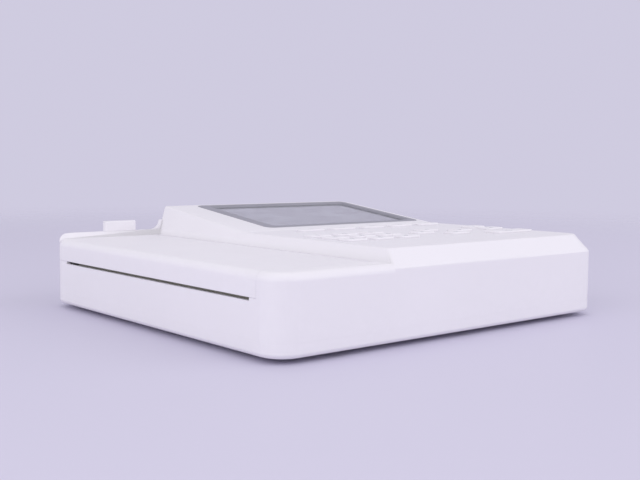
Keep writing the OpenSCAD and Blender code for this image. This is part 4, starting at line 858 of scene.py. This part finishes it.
solder_mask = board_face("solder_mask", (0.02, 0.16, 0.07, 1), (0.05, 0.30, 0.12, 1))
chip_black = moulded_plastic("chip_black", (0.03, 0.03, 0.032, 1), (0.07, 0.07, 0.075, 1), (0.45, 0.6),
                             pits=2600.0, pit_depth=0.3, drift=0.1, highlight_amount=0.3, IOR=1.55)
keyboard = from_frame("key_board", "keyboard_circuit", solder_mask, "case")
paint(keyboard, acetal, ((178, 27, 44.7), (202.5, 34.5, 47.7)))

# ---------------------------------------------------------------------------
# Main board and power supply: green boards on posts of the lower case, with
# black chips, white connectors, capacitors, a taped transformer and a heat sink.
main_circuit = from_frame("main_board", "main_circuit", solder_mask, "case", turn_over=28)
paint(main_circuit, chip_black, ((125.5, 151, 34.7), (187, 174, 37)),
      ((228, 179, 34.7), (236, 214, 43)))
paint(main_circuit, acetal, ((115, 109, 34.7), (157, 116, 41)), ((221, 119, 34.7), (231, 147, 42)))
tape = moulded_plastic("yellow_tape", (0.62, 0.45, 0.08, 1), (0.70, 0.55, 0.16, 1), (0.3, 0.45),
                       pits=700.0, pit_depth=0.15, drift=0.12, highlight_amount=0.2, IOR=1.5)
mains_unit = from_frame("power_supply", "mains_unit", solder_mask, "case", turn_over=28)
paint(mains_unit, chip_black, ((235.5, 176.5, 10.7), (253, 194, 30)),
      ((190.5, 175.5, 10.7), (201.5, 186.5, 28)))
paint(mains_unit, tape, ((211, 172, 10.7), (236.02, 196, 28)))
paint(mains_unit, aluminium, ((191.5, 160.5, 10.7), (232.5, 163.5, 29)))
paint(mains_unit, acetal, ((241.5, 162.5, 10.7), (256.5, 175.2, 21)))

# ---------------------------------------------------------------------------
# Battery: a rechargeable pack shrunk in blue sleeving, in the well under the
# console, with its connector block.
sleeving = moulded_plastic("blue_sleeving", (0.06, 0.12, 0.38, 1), (0.12, 0.20, 0.48, 1), (0.22, 0.36),
                           pits=400.0, pit_depth=0.25, drift=0.1, highlight_amount=0.3, IOR=1.5)
pack = from_frame("battery_pack", "battery", sleeving, "case")
paint(pack, acetal, ((115, 83, 24.9), (131, 91, 29)))

# ---------------------------------------------------------------------------
# Loudspeaker: a small moving-coil unit over the slots in the floor, with its
# magnet cup on its back.
cone = from_frame("speaker", "loudspeaker", chip_black, "case", turn_over=28)
paint(cone, drawn_steel, ((194, 31, 9.0), (212, 49, 13)))

# ---------------------------------------------------------------------------
# Connector plate: brushed steel, punched for the connectors, at the bottom of
# the back recess.
plate_steel = metal("plate_steel", (0.46, 0.46, 0.49, 1), 0.32, 0.5, (60, 1800, 1800), depth=0.25,
                    tarnish=0.12)
from_frame("rear_panel", "connector_plate", plate_steel, "case")

# ---------------------------------------------------------------------------
# Mains inlet: a black three-pin socket snapped into the plate, with plated
# blade contacts.
black_pbt = moulded_plastic("black_pbt", (0.022, 0.022, 0.024, 1), (0.055, 0.055, 0.06, 1), (0.36, 0.5),
                            pits=1600.0, pit_depth=0.25, drift=0.1, highlight_amount=0.4, IOR=1.55)
plated = metal("nickel_plate", (0.66, 0.64, 0.60, 1), 0.16, 0.3, (900, 900, 900), tarnish=0.1)
inlet = from_frame("mains_inlet", "mains_socket", black_pbt, "case",
                   rims=[((231, 255.9, 16), (264, 256.1, 42), 0.35)])
paint(inlet, plated, ((236, 229.9, 22), (258, 236, 34.8)), ((236, 238.3, 22), (258, 251.95, 34.8)))

# ---------------------------------------------------------------------------
# Fuse holder: a black bayonet cap on its barrel through the plate, with a
# milled rim and a slot for a coin.
fuse_x, fuse_z, fuse_steps = 198.0, 29.0, 72
fuse_loops = []
for r, y, mill in ((0.01, 228.0, 0), (5.6, 228.0, 0), (6.0, 228.5, 0), (6.0, 254.0, 0), (7.3, 254.0, 0),
                   (7.5, 254.3, 0.0), (7.55, 254.8, 0.12), (7.55, 257.9, 0.12), (7.3, 258.5, 0.04),
                   (6.8, 258.85, 0), (6.1, 259.0, 0), (5.2, 259.0, 0), (4.9, 258.8, 0), (0.01, 258.75, 0)):
    fuse_loops.append([(fuse_x + (r - (mill if i % 2 else 0)) * math.cos(2 * math.pi * i / fuse_steps), y,
                        fuse_z + (r - (mill if i % 2 else 0)) * math.sin(2 * math.pi * i / fuse_steps))
                       for i in range(fuse_steps)])
fuse_cap = add("fuse_cap", skin("fuse_cap", fuse_loops), black_pbt, "case")
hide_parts("fuse_holder")
soften(fuse_cap, 35)
coin_slot = [[(fuse_x + x, y, fuse_z + z)
              for x, z in ((-3.6, -0.55), (3.6, -0.55), (3.6, 0.55), (-3.6, 0.55))]
             for y in (257.6, 258.86)]
add("fuse_slot", skin("fuse_slot", coin_slot), chip_black, "case")

# ---------------------------------------------------------------------------
# Mains switch: a black rocker on a cross axle in a snap-in frame, with plain
# white line and ring marks printed on its two halves.
from_frame("rocker_frame", "switch_frame", black_pbt, "case",
           rims=[((210, 255.1, 17), (227, 255.3, 41), 0.3)])
from_frame("power_rocker", "switch_rocker", black_pbt, "rocker", width=0.35)
white_ink = moulded_plastic("white_ink", (0.75, 0.75, 0.78, 1), (0.80, 0.80, 0.83, 1), (0.4, 0.55),
                            pits=3000.0, pit_depth=0.1, drift=0.05, highlight_amount=0.3, IOR=1.5)


def on_rocker(x, up, out):
    """A point on the rocker's hollow front, turned with it to its rest place."""
    y, z = 3.6 + abs(up) / 8 + out, up
    c, s = math.cos(math.radians(-7)), math.sin(math.radians(-7))
    return (218.567 + x, 251.5 + y * c - z * s, 29 + y * s + z * c)


line_mark = [[on_rocker(x, up, out) for x, up in ((-0.35, 2.9), (0.35, 2.9), (0.35, 6.1), (-0.35, 6.1))]
             for out in (-0.05, 0.04)]
add("switch_line", skin("switch_line", line_mark), white_ink, "rocker")
ring_mark = [[on_rocker(r * math.cos(2 * math.pi * i / 32), -4.5 + r * math.sin(2 * math.pi * i / 32), out)
              for i in range(32)] for r, out in ((1.7, -0.05), (1.7, 0.04), (1.2, 0.04), (1.2, -0.05))]
add("switch_ring", skin("switch_ring", ring_mark, ring=True), white_ink, "rocker")

# ---------------------------------------------------------------------------
# Earth pin: a nickel-plated equalisation stud with its washer, and the nut
# behind the plate.
from_frame("earth_pin", "earth_stud", plated, "case", turn_over=28,
           rims=[((154, 261.9, 25), (163, 262.1, 33), 0.5)])

# ---------------------------------------------------------------------------
# Data ports: a shielded network socket with eight gilt contact wires and a
# shielded data socket with its tongue.
ports = from_frame("data_ports", "port_shields", plated, "case")
paint(ports, black_pbt, ((170.8, 238, 17.5), (183.1, 254.3, 27.7)),
      ((170.2, 238, 37.9), (181.7, 251.9, 40.0)))
gilt = metal("gilt", (0.83, 0.62, 0.26, 1), 0.12, 0.22, (900, 900, 900), tarnish=0.05)


def wire(name, path, r, look, sides=8):
    """A bent round wire along points in the case's millimetres."""
    loops = []
    for k, here in enumerate(path):
        a, b = Vector(path[max(k - 1, 0)]), Vector(path[min(k + 1, len(path) - 1)])
        along = (b - a).normalized()
        side = along.cross(Vector((1, 0, 0))).normalized()
        other = along.cross(side)
        loops.append([tuple(Vector(here) + r * math.cos(2 * math.pi * i / sides) * side
                            + r * math.sin(2 * math.pi * i / sides) * other) for i in range(sides)])
    soften(add(name, skin(name, loops), look, "case"), 60)


for i in range(8):
    x = 176.93 + (i - 3.5) * 1.02
    wire(f"network_contact_{i + 1}",
         [(x, 242.2, 26.0), (x, 245.5, 25.4), (x, 249.0, 23.9), (x, 250.6, 23.6)], 0.2, gilt)
for i in range(4):
    x = 175.93 + (i - 1.5) * 2.0
    wire(f"data_contact_{i + 1}", [(x, 243.5, 37.95), (x, 247.0, 37.9), (x, 251.2, 37.95)], 0.22, gilt)

# ---------------------------------------------------------------------------
# Patient connector: a fifteen-way socket in the right-hand recess, its nickel
# shell round a dark insert, with a threaded hexagon post at each end.
leads = from_frame("patient_connector", "patient_socket", plated, "case", turn_over=28,
                   rims=[((273.7, 110.5, 20), (273.9, 152.5, 34), 0.25)])
insert = moulded_plastic("blue_insert", (0.04, 0.05, 0.10, 1), (0.08, 0.09, 0.16, 1), (0.4, 0.55),
                         pits=1800.0, pit_depth=0.2, drift=0.08, highlight_amount=0.3, IOR=1.52)
paint(leads, insert, ((278.7, 117.5, 21), (278.9, 145.5, 33)))
